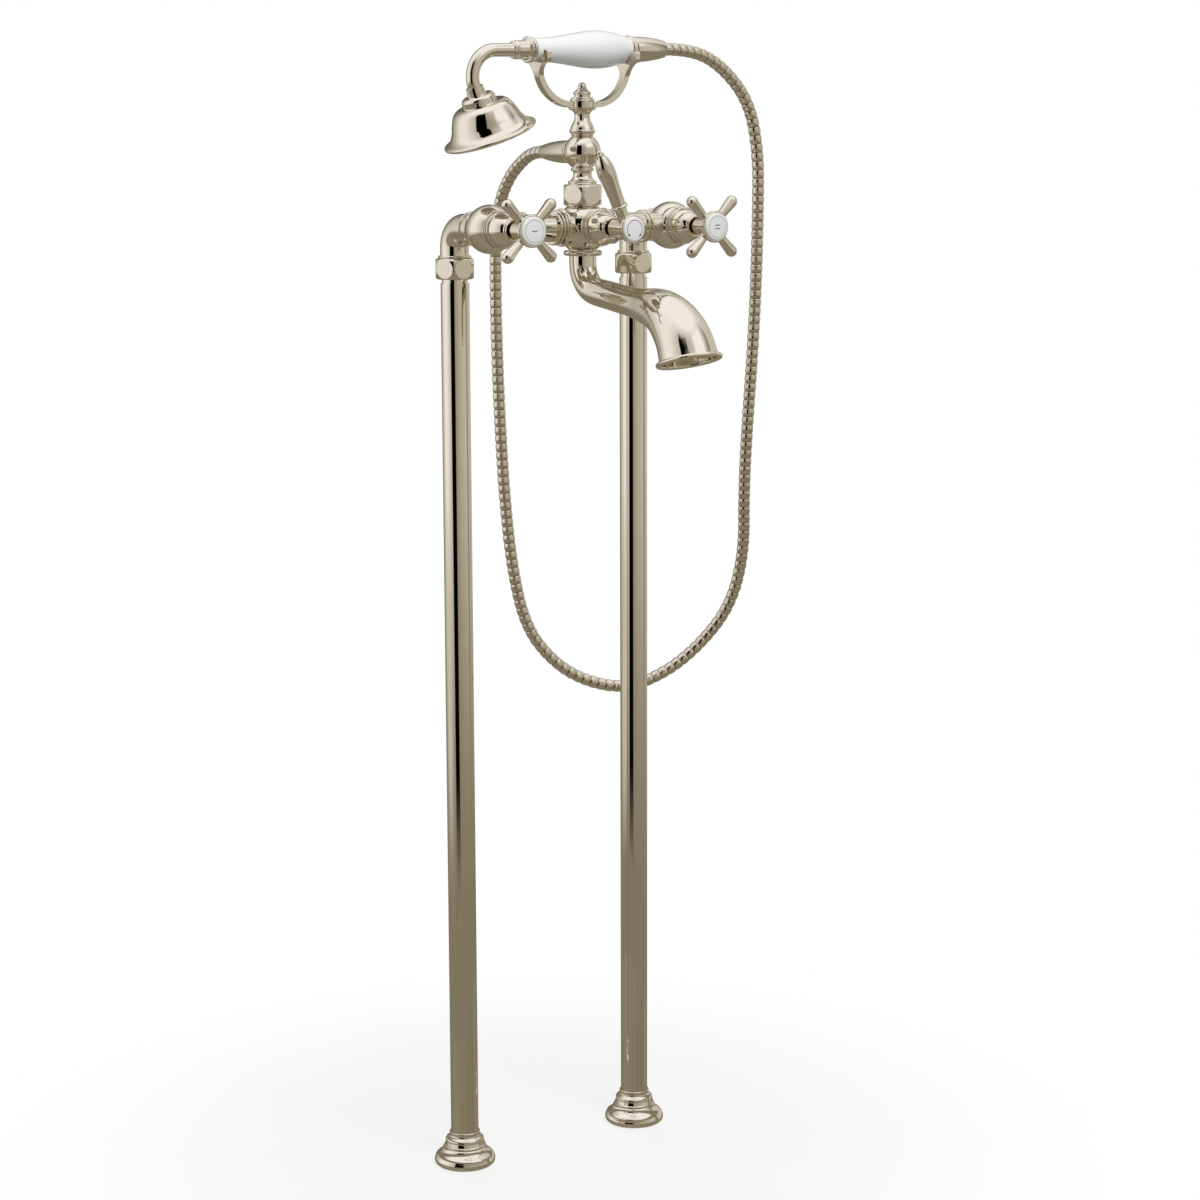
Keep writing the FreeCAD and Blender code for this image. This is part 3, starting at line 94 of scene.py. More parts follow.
# Polished nickel plate: a mirror with a warm cast. The buffing wheel leaves soft patches 25 mm wide
# with a little more haze, and a ripple about 9 mm long that bends long reflections slightly.
nickel, tree, place, surface = new_finish("polished_nickel_plate")
patch_mm = 25
ripple_mm = 9
patches = add_node(tree, "ShaderNodeTexNoise", {"Vector": place, "Scale": 1000 / patch_mm, "Detail": 3.0})
tint = add_node(tree, "ShaderNodeMix", {
    "Factor": patches.outputs["Fac"], "A": hex_to_linear("#f3ede2"), "B": hex_to_linear("#ece5d8"),
}, data_type="RGBA")
haze = add_node(tree, "ShaderNodeMapRange", {
    "Value": patches.outputs["Fac"], "From Min": 0.3, "From Max": 0.7, "To Min": 0.02, "To Max": 0.05,
})
ripple = add_node(tree, "ShaderNodeTexNoise", {"Vector": place, "Scale": 1000 / ripple_mm, "Detail": 1.0})
relief = add_node(tree, "ShaderNodeBump", {
    "Height": ripple.outputs["Fac"], "Strength": 0.004, "Distance": 0.001,
})
shader = add_node(tree, "ShaderNodeBsdfPrincipled", {
    "Base Color": tint.outputs["Result"], "Metallic": 1.0, "Roughness": haze.outputs["Result"],
    "Normal": relief.outputs["Normal"],
})
tree.links.new(shader.outputs["BSDF"], surface)

sides = ("hot", "cold")
for side in sides:
    dress(nickel, side + "_floor_flange", side + "_riser")

# Turned brass: bare yellow metal with the fine rings of a lathe tool about 0.4 mm apart,
# drawn about 4 mm apart so that they show. At a scale of 1, a wave is 314 mm long.
brass, tree, place, surface = new_finish("turned_brass")
wave_mm = 314.16
ring_mm = 3.9458
rings = add_node(tree, "ShaderNodeTexWave", {
    "Vector": place, "Scale": wave_mm / ring_mm, "Distortion": 1.5, "Detail": 2.0,
}, bands_direction="Z")
tint = add_node(tree, "ShaderNodeMix", {
    "Factor": rings.outputs["Fac"], "A": hex_to_linear("#cfa75c"), "B": hex_to_linear("#b98f47"),
}, data_type="RGBA")
haze = add_node(tree, "ShaderNodeMapRange", {"Value": rings.outputs["Fac"], "To Min": 0.22, "To Max": 0.36})
shader = add_node(tree, "ShaderNodeBsdfPrincipled", {
    "Base Color": tint.outputs["Result"], "Metallic": 1.0, "Roughness": haze.outputs["Result"],
})
tree.links.new(shader.outputs["BSDF"], surface)
for side in sides:
    dress(brass, side + "_inlet_bush")

# Union nuts and elbows
# A hexagon nut pulls the elbow down on the riser against a rubber washer.
# The nuts are turned from hexagon bar and the elbows cast, then both are polished and plated.
for side in sides:
    dress(nickel, side + "_union_nut", side + "_elbow")

# Moulded nitrile rubber: black and dull, with a fine grain about 1 mm across from the mould.
rubber, tree, place, surface = new_finish("moulded_rubber")
grain_mm = 1
grain = add_node(tree, "ShaderNodeTexNoise", {"Vector": place, "Scale": 1000 / grain_mm, "Detail": 2.0})
tint = add_node(tree, "ShaderNodeMix", {
    "Factor": grain.outputs["Fac"], "A": hex_to_linear("#262626"), "B": hex_to_linear("#333231"),
}, data_type="RGBA")
relief = add_node(tree, "ShaderNodeBump", {
    "Height": grain.outputs["Fac"], "Strength": 0.2, "Distance": 0.0003,
})
shader = add_node(tree, "ShaderNodeBsdfPrincipled", {
    "Base Color": tint.outputs["Result"], "Roughness": 0.75, "Normal": relief.outputs["Normal"],
})
tree.links.new(shader.outputs["BSDF"], surface)
dress(rubber, "union_washers")

# Valve bodies and crossbars
# Each ball-shaped valve body is cast with its collar and beads, and takes its elbow from below.
# The crossbars are turned tubes that carry the water to the middle. All are nickel plated.
for side in sides:
    dress(nickel, side + "_valve_body", side + "_crossbar")

# Valve cartridges
# A quarter-turn brass cartridge screws into each valve body, with two ground ceramic discs
# that slide on each other, a turned stem, and rubber rings round the stems.
for side in sides:
    dress(brass, side + "_valve_cartridge", side + "_valve_stem")

# Ground alumina: matt off-white with grinding marks about 1.5 mm apart.
alumina, tree, place, surface = new_finish("ground_alumina")
mark_mm = 1.5
marks = add_node(tree, "ShaderNodeTexNoise", {"Vector": place, "Scale": 1000 / mark_mm, "Detail": 3.0})
tint = add_node(tree, "ShaderNodeMix", {
    "Factor": marks.outputs["Fac"], "A": hex_to_linear("#e4e1d8"), "B": hex_to_linear("#d6d3ca"),
}, data_type="RGBA")
shader = add_node(tree, "ShaderNodeBsdfPrincipled", {
    "Base Color": tint.outputs["Result"], "Roughness": 0.4, "IOR": 1.76,
})
tree.links.new(shader.outputs["BSDF"], surface)
for side in sides:
    dress(alumina, side + "_fixed_disc", side + "_moving_disc")
dress(rubber, "stem_seals")

# Bonnets and cross handles
# A domed bonnet covers each cartridge, and a cast four-armed handle with club-shaped arms
# sits on the stem, held by a stainless screw. Bonnets and handles are nickel plated.
for side in sides:
    dress(nickel, side + "_valve_bonnet", side + "_cross_handle")

# Machined stainless steel: cool grey with a faint grain about 0.8 mm long.
steel, tree, place, surface = new_finish("machined_stainless_steel")
grain_mm = 0.8
grain = add_node(tree, "ShaderNodeTexNoise", {"Vector": place, "Scale": 1000 / grain_mm, "Detail": 2.0})
tint = add_node(tree, "ShaderNodeMix", {
    "Factor": grain.outputs["Fac"], "A": hex_to_linear("#cfcfd0"), "B": hex_to_linear("#bfc0c2"),
}, data_type="RGBA")
haze = add_node(tree, "ShaderNodeMapRange", {"Value": grain.outputs["Fac"], "To Min": 0.25, "To Max": 0.4})
shader = add_node(tree, "ShaderNodeBsdfPrincipled", {
    "Base Color": tint.outputs["Result"], "Metallic": 1.0, "Roughness": haze.outputs["Result"],
})
tree.links.new(shader.outputs["BSDF"], surface)
for side in sides:
    dress(steel, side + "_handle_screw")

# Handle buttons
# A white porcelain button is pressed into each handle's cup over the screw, and its rounded edge stands
# proud of the rim. It is glazed over a fine grey ring and a plain index: one bar for hot, two for cold.

# Glazed porcelain: a bright neutral white body under clear glaze, with cloudy patches 18 mm wide
# and a soft waviness about 6 mm long where the glaze ran.
porcelain, tree, place, surface = new_finish("glazed_porcelain")
cloud_mm = 18
glaze_mm = 6
clouds = add_node(tree, "ShaderNodeTexNoise", {"Vector": place, "Scale": 1000 / cloud_mm, "Detail": 2.0})
tint = add_node(tree, "ShaderNodeMix", {
    "Factor": clouds.outputs["Fac"], "A": hex_to_linear("#f5f5f4"), "B": hex_to_linear("#eff0ef"),
}, data_type="RGBA")
waves = add_node(tree, "ShaderNodeTexNoise", {"Vector": place, "Scale": 1000 / glaze_mm})
relief = add_node(tree, "ShaderNodeBump", {
    "Height": waves.outputs["Fac"], "Strength": 0.03, "Distance": 0.001,
})
shader = add_node(tree, "ShaderNodeBsdfPrincipled", {
    "Base Color": tint.outputs["Result"], "Roughness": 0.12, "IOR": 1.54, "Normal": relief.outputs["Normal"],
})
tree.links.new(shader.outputs["BSDF"], surface)

# Sizes of a button in metres. The first is the crown of the plain button that it takes the place of.
plain_crown = 0.0012
button_rise = 0.0022
button_wall = 0.0005
button_bevel = 0.0020
face_crown = 0.0003
bevel_steps = 8
face_steps = 6
round_steps = 72
crease = math.radians(40)


def on_circle(radius, turn):
    """A spot on a flat circle round its middle."""
    return (radius * math.cos(turn), radius * math.sin(turn))


def face_at(node, face, across, up):
    """How far forward a button's face lies at a spot, on a shallow ball that is face wide."""
    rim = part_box(node)[0][1] + plain_crown
    bow = (face ** 2 + face_crown ** 2) / (2 * face_crown)
    fall = bow - math.sqrt(bow ** 2 - across ** 2 - up ** 2)
    return rim - button_rise - face_crown + fall


def turned_button(name, node, reach, body):
    """A button turned round its plug: the plug, a low wall, a rounded bevel and the crowned face."""
    low, high = (Vector(corner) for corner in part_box(node))
    middle = (low + high) / 2
    plug = (high.x - low.x) / 2
    rim = low.y + plain_crown
    face = reach - button_bevel
    outline = [(plug, high.y), (plug, rim), (reach, rim)]
    for k in range(bevel_steps + 1):
        bend = k * math.pi / 2 / bevel_steps
        rise = button_wall + (button_rise - button_wall) * math.sin(bend)
        outline.append((face + button_bevel * math.cos(bend), rim - rise))
    for k in range(1, face_steps):
        radius = face * (1 - k / face_steps)
        outline.append((radius, face_at(node, face, radius, 0.0)))
    points = [(middle.x, high.y, middle.z), (middle.x, face_at(node, face, 0.0, 0.0), middle.z)]
    for radius, forward in outline:
        for k in range(round_steps):
            across, up = on_circle(radius, 2 * math.pi * k / round_steps)
            points.append((middle.x + across, forward, middle.z + up))
    last = (len(outline) - 1) * round_steps
    faces = []
    for k in range(round_steps):
        here = 2 + k
        there = 2 + (k + 1) % round_steps
        faces += [(0, there, here), (1, here + last, there + last)]
        for row in range(0, last, round_steps):
            faces.append((here + row, there + row, there + row + round_steps, here + row + round_steps))
    mesh = bpy.data.meshes.new(name)
    mesh.from_pydata(points, [], faces)
    mesh.shade_smooth()
    mesh.set_sharp_from_angle(angle=crease)
    mesh.materials.append(porcelain)
    button = bpy.data.objects.new(name, mesh)
    bpy.context.scene.collection.objects.link(button)
    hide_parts(node)
    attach(button, body)


handle_reach = 0.0128
for side in sides:
    turned_button(side + "_raised_button", side + "_handle_button", handle_reach, side + "_handle")

# Fired grey enamel: a thin line of colour under the glaze, a little uneven where the brush went.
enamel, tree, place, surface = new_finish("fired_grey_enamel")
stroke_mm = 1.2
strokes = add_node(tree, "ShaderNodeTexNoise", {"Vector": place, "Scale": 1000 / stroke_mm, "Detail": 2.0})
tint = add_node(tree, "ShaderNodeMix", {
    "Factor": strokes.outputs["Fac"], "A": hex_to_linear("#5d5c5a"), "B": hex_to_linear("#8a8986"),
}, data_type="RGBA")
shader = add_node(tree, "ShaderNodeBsdfPrincipled", {"Base Color": tint.outputs["Result"], "Roughness": 0.2})
tree.links.new(shader.outputs["BSDF"], surface)


def painted_mark(name, node, reach, flats, faces, finish, body):
    """Lays a flat drawing, in metres across and up, on a button's face and lets it ride there."""
    low, high = (Vector(corner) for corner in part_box(node))
    middle = (low + high) / 2
    paint_thick = 0.00004
    points = []
    for across, up in flats:
        forward = face_at(node, reach - button_bevel, across, up) - paint_thick
        points.append((middle.x + across, forward, middle.z + up))
    mesh = bpy.data.meshes.new(name)
    mesh.from_pydata(points, [], faces)
    mesh.materials.append(finish)
    mark = bpy.data.objects.new(name, mesh)
    bpy.context.scene.collection.objects.link(mark)
    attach(mark, body)


bar_long = 0.0062
bar_thick = 0.0011
bar_apart = 0.0030
bar_steps = 8
bar_blunt = 0.08
ring_radius = 0.0098
ring_thick = 0.0003
for side, count in (("hot", 1), ("cold", 2)):
    flats = []
    faces = []
    for row in range(count):
        up = (row - (count - 1) / 2) * bar_apart
        first = len(flats)
        for step in range(bar_steps + 1):
            across = (step / bar_steps - 0.5) * bar_long
            swell = bar_thick / 2 * math.sqrt(max(bar_blunt, 1 - (2 * step / bar_steps - 1) ** 2))
            flats += [(across, up - swell), (across, up + swell)]
        for k in range(first, first + 2 * bar_steps, 2):
            faces.append((k, k + 2, k + 3, k + 1))
    first = len(flats)
    for step in range(round_steps + 1):
        turn = math.radians(360 / round_steps * step)
        for radius in (ring_radius - ring_thick / 2, ring_radius + ring_thick / 2):
            flats.append(on_circle(radius, turn))
    for k in range(first, first + 2 * round_steps, 2):
        faces.append((k, k + 1, k + 3, k + 2))
    painted_mark(side + "_index", side + "_handle_button", handle_reach, flats, faces, enamel,
                 side + "_handle")

# Centre body and spout
# The centre body is cast with its beads and takes both crossbars. The spout is a cast swan bend
# that widens to a rolled lip, held up under the body by a ring. All are nickel plated.
dress(nickel, "centre_body", "spout_ring", "spout")

# Diverter
# A brass spool turns in a cartridge behind the front bonnet and sends the water to spout or hose.
# Its lever is cast with a hub, plated, screwed to the spool, and closed by a porcelain button.
dress(brass, "diverter_cartridge", "diverter_spool")
dress(nickel, "diverter_bonnet", "diverter_lever")
dress(steel, "diverter_screw")
diverter_reach = 0.0114
turned_button("diverter_raised_button", "diverter_button", diverter_reach, "diverter")

# Black enamel line with an arrowhead at each end: it shows which way the lever turns.
black_enamel, tree, place, surface = new_finish("fired_black_enamel")
strokes = add_node(tree, "ShaderNodeTexNoise", {"Vector": place, "Scale": 1000 / stroke_mm, "Detail": 2.0})
tint = add_node(tree, "ShaderNodeMix", {
    "Factor": strokes.outputs["Fac"], "A": hex_to_linear("#161514"), "B": hex_to_linear("#2b2a28"),
}, data_type="RGBA")
shader = add_node(tree, "ShaderNodeBsdfPrincipled", {"Base Color": tint.outputs["Result"], "Roughness": 0.2})
tree.links.new(shader.outputs["BSDF"], surface)
line_radius = 0.0081
line_thick = 0.0005
head_long = 0.0030
head_wide = 0.0023
gap_half = math.radians(55)
line_start = -math.pi / 2 + gap_half
line_end = -math.pi / 2 - gap_half
flats = []
for k in range(round_steps + 1):
    turn = line_start + (2 * math.pi - 2 * gap_half) * k / round_steps
    for radius in (line_radius - line_thick / 2, line_radius + line_thick / 2):
        flats.append(on_circle(radius, turn))
faces = [(2 * k, 2 * k + 1, 2 * k + 3, 2 * k + 2) for k in range(round_steps)]
for way, turn in ((-1, line_start), (1, line_end)):
    first = len(flats)
    reach = way * head_long / line_radius
    flats.append(on_circle(line_radius - head_wide / 2, turn))
    flats.append(on_circle(line_radius + head_wide / 2, turn))
    flats.append(on_circle(line_radius, turn + reach))
    faces.append((first, first + 1, first + 2) if way < 0 else (first + 1, first, first + 2))
painted_mark("diverter_arrows", "diverter_button", diverter_reach, flats, faces, black_enamel, "diverter")

# Column and cradle
# A hexagon nut holds the turned shower column on the centre body. The bent strap of the cradle
# sits on the column's cup under the finial, whose stud screws into the column. All nickel plated.
dress(nickel, "column_nut", "shower_column", "cradle_yoke", "finial")

# Hand shower
# A porcelain grip sits on a brass core tube between two collars. A bent neck tube carries the bell,
# whose spray plate is pressed in over a rubber gasket. The metal that shows is nickel plated.
dress(porcelain, "handset_grip")
dress(brass, "handset_core")
dress(nickel, "front_collar", "rear_collar", "handset_neck", "shower_bell", "spray_plate")
dress(rubber, "spray_gasket")

# Hose
# The hose is a metal strip wound into interlocking turns round a rubber lining, so it looks ribbed.
# A long nut with a washer holds each end, one behind the column and one on the grip's rear collar.
dress(nickel, "hose_outlet_nut", "hose_handset_nut")
dress(rubber, "outlet_washer", "handset_washer")

hose_route = [
    (0.0, 0.00285, 0.9718), (0.0, 0.02085, 0.9718), (0.0003, 0.046, 0.9598), (0.0008, 0.0658, 0.9453),
    (0.0013, 0.0827, 0.9214), (0.0018, 0.090, 0.886), (0.002, 0.091, 0.845), (0.002, 0.090, 0.790),
    (0.0035, 0.0881, 0.715), (0.007, 0.0853, 0.630), (0.014, 0.0826, 0.560), (0.026, 0.0783, 0.5055),
    (0.0493, 0.068, 0.4706), (0.079, 0.055, 0.4484), (0.118, 0.037, 0.4385), (0.1554, 0.020, 0.453),
    (0.1887, 0.004, 0.482), (0.2139, -0.012, 0.5217), (0.2176, -0.028, 0.577), (0.209, -0.038, 0.640),
    (0.207, -0.045, 0.702), (0.2092, -0.050, 0.775), (0.2101, -0.054, 0.845), (0.2094, -0.057, 0.912),
    (0.2072, -0.060, 0.968), (0.1956, -0.061, 1.0166), (0.1648, -0.061, 1.0492),
    (0.12762, -0.061, 1.06656), (0.09263, -0.061, 1.06586),
]
route = bpy.data.curves.new("hose_route", "CURVE")
route.dimensions = "3D"
route.resolution_u = 24
spline = route.splines.new("NURBS")
spline.points.add(len(hose_route) - 1)
for point, at in zip(spline.points, hose_route):
    point.co = (*at, 1.0)
spline.order_u = 3
spline.use_endpoint_u = True
line = bpy.data.objects.new("hose_route", route)
bpy.context.scene.collection.objects.link(line)
bpy.context.view_layer.update()
line_mesh = bpy.data.meshes.new_from_object(line.evaluated_get(bpy.context.evaluated_depsgraph_get()))
bpy.data.objects.remove(line)

# Polished strip: the same nickel plate, buffed less in the grooves, so they are hazier. Painted shade
# darkens the grooves.
strip, tree, place, surface = new_finish("wound_nickel_strip")
groove = add_node(tree, "ShaderNodeAttribute", attribute_name="groove").outputs["Fac"]
patches = add_node(tree, "ShaderNodeTexNoise", {"Vector": place, "Scale": 1000 / patch_mm, "Detail": 3.0})
tint = add_node(tree, "ShaderNodeMix", {
    "Factor": patches.outputs["Fac"], "A": hex_to_linear("#eae3d5"), "B": hex_to_linear("#e2dacb"),
}, data_type="RGBA")
# Painted shade: the strip's colour turns dark brown down in each groove, where shade falls between the
# turns.
shade = add_node(tree, "ShaderNodeMix", {
    "Factor": groove, "A": tint.outputs["Result"], "B": hex_to_linear("#7d705a"),
}, data_type="RGBA")
haze = add_node(tree, "ShaderNodeMapRange", {"Value": groove, "To Min": 0.1, "To Max": 0.4})
shader = add_node(tree, "ShaderNodeBsdfPrincipled", {
    "Base Color": shade.outputs["Result"], "Metallic": 1.0, "Roughness": haze.outputs["Result"],
})
tree.links.new(shader.outputs["BSDF"], surface)

winding = bpy.data.node_groups.new("wound_hose", "GeometryNodeTree")
winding.interface.new_socket("Route", in_out="INPUT", socket_type="NodeSocketGeometry")
sizes = {
    "Turns": ("NodeSocketInt", 169),
    "Rings per turn": ("NodeSocketInt", 12),
    "Sides": ("NodeSocketInt", 24),
    "Crest radius": ("NodeSocketFloat", 0.0059),
    "Crown": ("NodeSocketFloat", 0.0005),
    "Groove depth": ("NodeSocketFloat", 0.0006),
    "Strip": ("NodeSocketMaterial", strip),
}
sockets = {name: winding.interface.new_socket(name, in_out="INPUT", socket_type=kind).identifier
           for name, (kind, value) in sizes.items()}
winding.interface.new_socket("Hose", in_out="OUTPUT", socket_type="NodeSocketGeometry")
given = add_node(winding, "NodeGroupInput").outputs
rings = add_node(winding, "ShaderNodeMath", {0: given["Turns"], 1: given["Rings per turn"], 2: 1.0},
                 operation="MULTIPLY_ADD")
curve = add_node(winding, "GeometryNodeMeshToCurve", {"Mesh": given["Route"]})
even = add_node(winding, "GeometryNodeResampleCurve", {
    "Curve": curve.outputs["Curve"], "Count": rings.outputs[0],
})
along = add_node(winding, "GeometryNodeSplineParameter").outputs["Factor"]
marked = add_node(winding, "GeometryNodeStoreNamedAttribute", {
    "Geometry": even.outputs["Curve"], "Name": "along", "Value": along,
})
ring = add_node(winding, "GeometryNodeCurvePrimitiveCircle", {
    "Resolution": given["Sides"], "Radius": given["Crest radius"],
})
tube = add_node(winding, "GeometryNodeCurveToMesh", {
    "Curve": marked.outputs["Geometry"], "Profile Curve": ring.outputs["Curve"], "Fill Caps": True,
})
share = add_node(winding, "GeometryNodeInputNamedAttribute", {"Name": "along"}).outputs["Attribute"]
count = add_node(winding, "ShaderNodeMath", {0: share, 1: given["Turns"]}, operation="MULTIPLY")
phase = add_node(winding, "ShaderNodeMath", {0: count.outputs[0]}, operation="FRACT")
apart = add_node(winding, "ShaderNodeMath", {0: phase.outputs[0], 1: 0.5, 2: 0.0}, operation="SUBTRACT")
half = add_node(winding, "ShaderNodeMath", {0: apart.outputs[0]}, operation="ABSOLUTE")
edge = add_node(winding, "ShaderNodeMath", {0: half.outputs[0], 1: 2.0}, operation="MULTIPLY")
bowed = add_node(winding, "ShaderNodeMath", {0: edge.outputs[0], 1: 2.0}, operation="POWER")
groove_start = 0.8
groove_floor = 0.98
groove = add_node(winding, "ShaderNodeMapRange", {
    "Value": edge.outputs[0], "From Min": groove_start, "From Max": groove_floor,
}, interpolation_type="SMOOTHSTEP")
drop = add_node(winding, "ShaderNodeMath", {0: bowed.outputs[0], 1: given["Crown"]}, operation="MULTIPLY")
depth = add_node(winding, "ShaderNodeMath", {
    0: groove.outputs["Result"], 1: given["Groove depth"], 2: drop.outputs[0],
}, operation="MULTIPLY_ADD")
inward = add_node(winding, "ShaderNodeMath", {0: depth.outputs[0], 1: -1.0}, operation="MULTIPLY")
outward = add_node(winding, "GeometryNodeInputNormal").outputs["Normal"]
push = add_node(winding, "ShaderNodeVectorMath", {0: outward, "Scale": inward.outputs[0]}, operation="SCALE")
noted = add_node(winding, "GeometryNodeStoreNamedAttribute", {
    "Geometry": tube.outputs["Mesh"], "Name": "groove", "Value": groove.outputs["Result"],
})
ribbed = add_node(winding, "GeometryNodeSetPosition", {
    "Geometry": noted.outputs["Geometry"], "Offset": push.outputs["Vector"],
})
smooth = add_node(winding, "GeometryNodeSetShadeSmooth", {"Geometry": ribbed.outputs["Geometry"]})
real = add_node(winding, "GeometryNodeRealizeInstances", {"Geometry": smooth.outputs[0]})
painted = add_node(winding, "GeometryNodeSetMaterial", {
    "Geometry": real.outputs["Geometry"], "Material": given["Strip"],
})
add_node(winding, "NodeGroupOutput", {"Hose": painted.outputs["Geometry"]})

maker = bpy.data.objects.new("hose_maker", line_mesh)
bpy.context.scene.collection.objects.link(maker)
wound = maker.modifiers.new("winding", "NODES")
wound.node_group = winding
for name, (kind, value) in sizes.items():
    wound[sockets[name]] = value
bpy.context.view_layer.update()
hose_mesh = bpy.data.meshes.new_from_object(maker.evaluated_get(bpy.context.evaluated_depsgraph_get()))
hose_mesh.name = "wound_hose"
maker.modifiers.remove(wound)
bpy.data.objects.remove(maker)
hose = bpy.data.objects.new("wound_hose", hose_mesh)
bpy.context.scene.collection.objects.link(hose)
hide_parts("shower_hose")
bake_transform(hose)

# Floor
# A plain pale plaster floor under the filler, which fades into the white backdrop round it.
floor_reach = 0.62
floor_level = -0.0004
floor_sides = 64
floor_mesh = bpy.data.meshes.new("floor")
rim = [(*on_circle(floor_reach, k * 2 * math.pi / floor_sides), floor_level) for k in range(floor_sides)]
floor_mesh.from_pydata(rim, [], [tuple(range(floor_sides))])
floor = bpy.data.objects.new("floor", floor_mesh)
bpy.context.scene.collection.objects.link(floor)
floor.visible_glossy = False
plaster, tree, place, surface = new_finish("pale_plaster")
trowel_mm = 60
trowel = add_node(tree, "ShaderNodeTexNoise", {"Vector": place, "Scale": 1000 / trowel_mm, "Detail": 3.0})
tint = add_node(tree, "ShaderNodeMix", {
    "Factor": trowel.outputs["Fac"], "A": hex_to_linear("#f6f5f3"), "B": hex_to_linear("#f2f1ee"),
}, data_type="RGBA")
matt = add_node(tree, "ShaderNodeBsdfDiffuse", {"Color": tint.outputs["Result"]})
distance = add_node(tree, "ShaderNodeVectorMath", {0: place}, operation="LENGTH")
fade_start = 0.20
fade_end = 0.58
least_clear = 0.76
fade = add_node(tree, "ShaderNodeMapRange", {
    "Value": distance.outputs["Value"], "From Min": fade_start, "From Max": fade_end, "To Min": least_clear,
}, interpolation_type="SMOOTHSTEP")
clear = add_node(tree, "ShaderNodeBsdfTransparent")
shader = add_node(tree, "ShaderNodeMixShader", {
    0: fade.outputs["Result"], 1: matt.outputs["BSDF"], 2: clear.outputs["BSDF"],
})
tree.links.new(shader.outputs["Shader"], surface)
floor_mesh.materials.append(plaster)

# Studio
# A white room with two soft lamps. The polished metal mirrors a curtain far round it, a soft box high to the
# right, a reflector low on the left, a black flag, a dim warm ground, and a low screen round its feet.
towards_camera = (-0.5586, -0.8294)
camera_bearing = math.atan2(towards_camera[1], towards_camera[0])


def mirrored_only(thing):
    """Lets reflections see a thing of the studio, and nothing else."""
    thing.visible_camera = False
    thing.visible_diffuse = False
    thing.visible_shadow = False


def studio_card(name, bearings, heights, distance, tones, fades):
    """A curved card that only reflections see. Bearings are degrees to the right of the camera,
    tones are its colours along them, and fades the shares of side, foot and top that turn clear."""
    mesh = bpy.data.meshes.new(name)
    steps = 48
    points = []
    for k in range(steps + 1):
        turn = camera_bearing + math.radians(bearings[0] + (bearings[1] - bearings[0]) * k / steps)
        for height in heights:
            points.append((*on_circle(distance, turn), height))
    mesh.from_pydata(points, [], [(2 * k, 2 * k + 2, 2 * k + 3, 2 * k + 1) for k in range(steps)])
    across = mesh.uv_layers.new(name="across")
    for loop in mesh.loops:
        across.data[loop.index].uv = (loop.vertex_index // 2 / steps, loop.vertex_index % 2)
    paint, tree, place, surface = new_finish(name + "_paint")
    paint.cycles.emission_sampling = "NONE"
    spot = add_node(tree, "ShaderNodeUVMap", uv_map="across")
    split = add_node(tree, "ShaderNodeSeparateXYZ", {"Vector": spot.outputs["UV"]})
    ramp = add_node(tree, "ShaderNodeValToRGB", {"Fac": split.outputs["X"]})
    for k, (bearing, code) in enumerate(tones):
        share = (bearing - bearings[0]) / (bearings[1] - bearings[0])
        stop = ramp.color_ramp.elements[k] if k < 2 else ramp.color_ramp.elements.new(share)
        stop.position = share
        stop.color = hex_to_linear(code)
    glow = add_node(tree, "ShaderNodeEmission", {"Color": ramp.outputs["Color"], "Strength": 1.0})
    inside = add_node(tree, "ShaderNodeMath", {0: split.outputs["X"], 1: 0.5}, operation="PINGPONG")
    side = add_node(tree, "ShaderNodeMapRange", {
        "Value": inside.outputs[0], "From Min": 0.0, "From Max": fades[0],
    }, interpolation_type="SMOOTHSTEP")
    foot = add_node(tree, "ShaderNodeMapRange", {
        "Value": split.outputs["Y"], "From Min": 0.0, "From Max": fades[1],
    }, interpolation_type="SMOOTHSTEP")
    top = add_node(tree, "ShaderNodeMapRange", {
        "Value": split.outputs["Y"], "From Min": 1.0, "From Max": 1.0 - fades[2],
    }, interpolation_type="SMOOTHSTEP")
    part = add_node(tree, "ShaderNodeMath", {0: side.outputs["Result"], 1: foot.outputs["Result"]},
                    operation="MULTIPLY")
    whole = add_node(tree, "ShaderNodeMath", {0: part.outputs[0], 1: top.outputs["Result"]},
                     operation="MULTIPLY")
    clear = add_node(tree, "ShaderNodeBsdfTransparent")
    shader = add_node(tree, "ShaderNodeMixShader", {
        0: whole.outputs[0], 1: clear.outputs["BSDF"], 2: glow.outputs["Emission"],
    })
    tree.links.new(shader.outputs["Shader"], surface)
    mesh.materials.append(paint)
    card = bpy.data.objects.new(name, mesh)
    bpy.context.scene.collection.objects.link(card)
    mirrored_only(card)


def plain_card(name, bearings, heights, distance, code, fades):
    """A studio card of one colour."""
    studio_card(name, bearings, heights, distance, [(bearing, code) for bearing in bearings], fades)


all_round = (-180, 180)
ground_level = -3.1
hard_edge = 0.0001
studio_card("grey_curtain", all_round, (ground_level, 23.2), 12.0, [
    (-180, "#504d44"), (180, "#98937f"), (-150, "#837d6c"), (-115, "#d6d4ca"), (-98, "#f8f7f6"),
    (-72, "#f5f4f2"), (-42, "#c8c6ba"), (-8, "#958f7d"), (28, "#b5b0a1"), (86, "#c6c4b7"),
    (99, "#77715f"), (112, "#cfccc0"), (150, "#cac7bb"),
], (hard_edge, 0.105, 0.71))
plain_card("right_soft_box", (22, 86), (4.4, 17.5), 11.8, "#ffffff", (0.2, 0.3, 0.3))
plain_card("black_flag", (-39, -3), (ground_level, 13.0), 11.6, "#030303", (0.07, 0.05, 0.25))
plain_card("warm_skirt", all_round, (-3.2, 2.5), 12.2, "#8a8270", (hard_edge, hard_edge, hard_edge))
plain_card("left_reflector", (-125, -55), (ground_level, -0.7), 11.9, "#cdc9bd", (0.3, 0.45, 0.45))
plain_card("low_screen", all_round, (0.07, 0.22), 0.25, "#877f6d", (hard_edge, 0.1, 0.3))

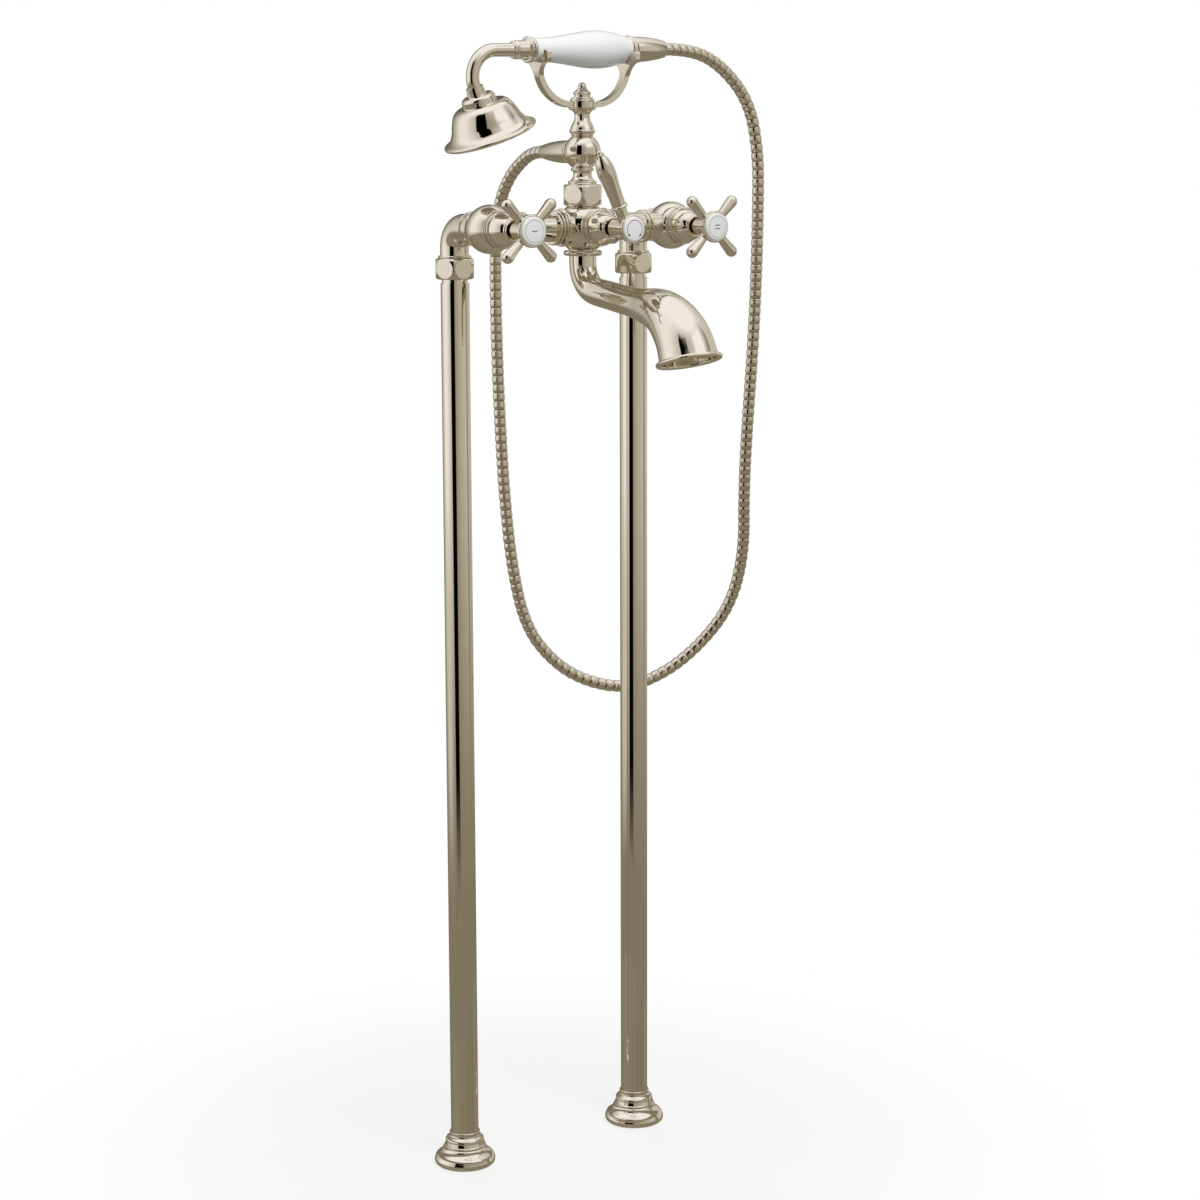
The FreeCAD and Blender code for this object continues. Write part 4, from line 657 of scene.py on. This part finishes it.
ground_reach = 12.5
ground_mesh = bpy.data.meshes.new("warm_ground")
corner_signs = ((-1, -1), (1, -1), (1, 1), (-1, 1))
corners = [(x * ground_reach, y * ground_reach, ground_level) for x, y in corner_signs]
ground_mesh.from_pydata(corners, [], [(0, 1, 2, 3)])
ground = bpy.data.objects.new("warm_ground", ground_mesh)
bpy.context.scene.collection.objects.link(ground)
mirrored_only(ground)
paint, tree, place, surface = new_finish("warm_ground_paint")
paint.cycles.emission_sampling = "NONE"
ground_mm = 8000
worn = add_node(tree, "ShaderNodeTexNoise", {"Vector": place, "Scale": 1000 / ground_mm, "Detail": 2.0})
spread = add_node(tree, "ShaderNodeMapRange", {
    "Value": worn.outputs["Fac"], "From Min": 0.35, "From Max": 0.65,
})
tint = add_node(tree, "ShaderNodeMix", {
    "Factor": spread.outputs["Result"], "A": hex_to_linear("#837b69"), "B": hex_to_linear("#918977"),
}, data_type="RGBA")
glow = add_node(tree, "ShaderNodeEmission", {"Color": tint.outputs["Result"], "Strength": 1.0})
tree.links.new(glow.outputs["Emission"], surface)
ground_mesh.materials.append(paint)

world = bpy.data.worlds.new("white_room")
bpy.context.scene.world = world
world.use_nodes = True
tree = world.node_tree
tree.nodes.clear()
path = add_node(tree, "ShaderNodeLightPath").outputs
seen = add_node(tree, "ShaderNodeMath", {0: path["Is Camera Ray"], 1: path["Is Glossy Ray"]},
                operation="MAXIMUM")
seen = add_node(tree, "ShaderNodeMath", {0: seen.outputs[0], 1: path["Is Transmission Ray"]},
                operation="MAXIMUM")
room_light = 0.33
dim = add_node(tree, "ShaderNodeBackground", {"Color": (1, 1, 1, 1), "Strength": room_light})
white = add_node(tree, "ShaderNodeBackground", {"Color": (1, 1, 1, 1), "Strength": 1.0})
both = add_node(tree, "ShaderNodeMixShader", {0: seen.outputs[0], 1: dim.outputs[0], 2: white.outputs[0]})
add_node(tree, "ShaderNodeOutputWorld", {"Surface": both.outputs[0]})


def soft_lamp(name, at, towards, size, power):
    """A square area lamp that faces a point."""
    lamp = bpy.data.lights.new(name, "AREA")
    lamp.size = size
    lamp.energy = power
    lit = bpy.data.objects.new(name, lamp)
    bpy.context.scene.collection.objects.link(lit)
    lit.location = at
    lit.rotation_euler = (Vector(towards) - Vector(at)).to_track_quat("-Z", "Y").to_euler()
    lit.visible_glossy = False


valves_at = (0.0, 0.0, 0.9)
lamp_size = 1.6
soft_lamp("key_lamp", (-0.3, -1.8, 3.05), valves_at, lamp_size, 58)
soft_lamp("back_lamp", (0.8, 2.6, 1.6), valves_at, lamp_size, 22)

# Camera
# It stands left of the filler's front, a little higher than its valves, and looks slightly down.
lens = bpy.data.cameras.new("camera")
lens.sensor_width = 36.0
lens.lens = 81.43
camera = bpy.data.objects.new("camera", lens)
bpy.context.scene.collection.objects.link(camera)
camera_at = (-1.44195, -2.14088, 0.97653)
left_degrees = 35.072
down_degrees = 9.485
roll_degrees = -0.171
turn = Matrix.Rotation(math.radians(-left_degrees), 4, "Z")
tilt = Matrix.Rotation(math.radians(90 - down_degrees), 4, "X")
roll = Matrix.Rotation(math.radians(roll_degrees), 4, "Z")
camera.matrix_world = Matrix.Translation(camera_at) @ turn @ tilt @ roll
bpy.context.scene.camera = camera
bpy.context.scene.view_settings.view_transform = "Standard"
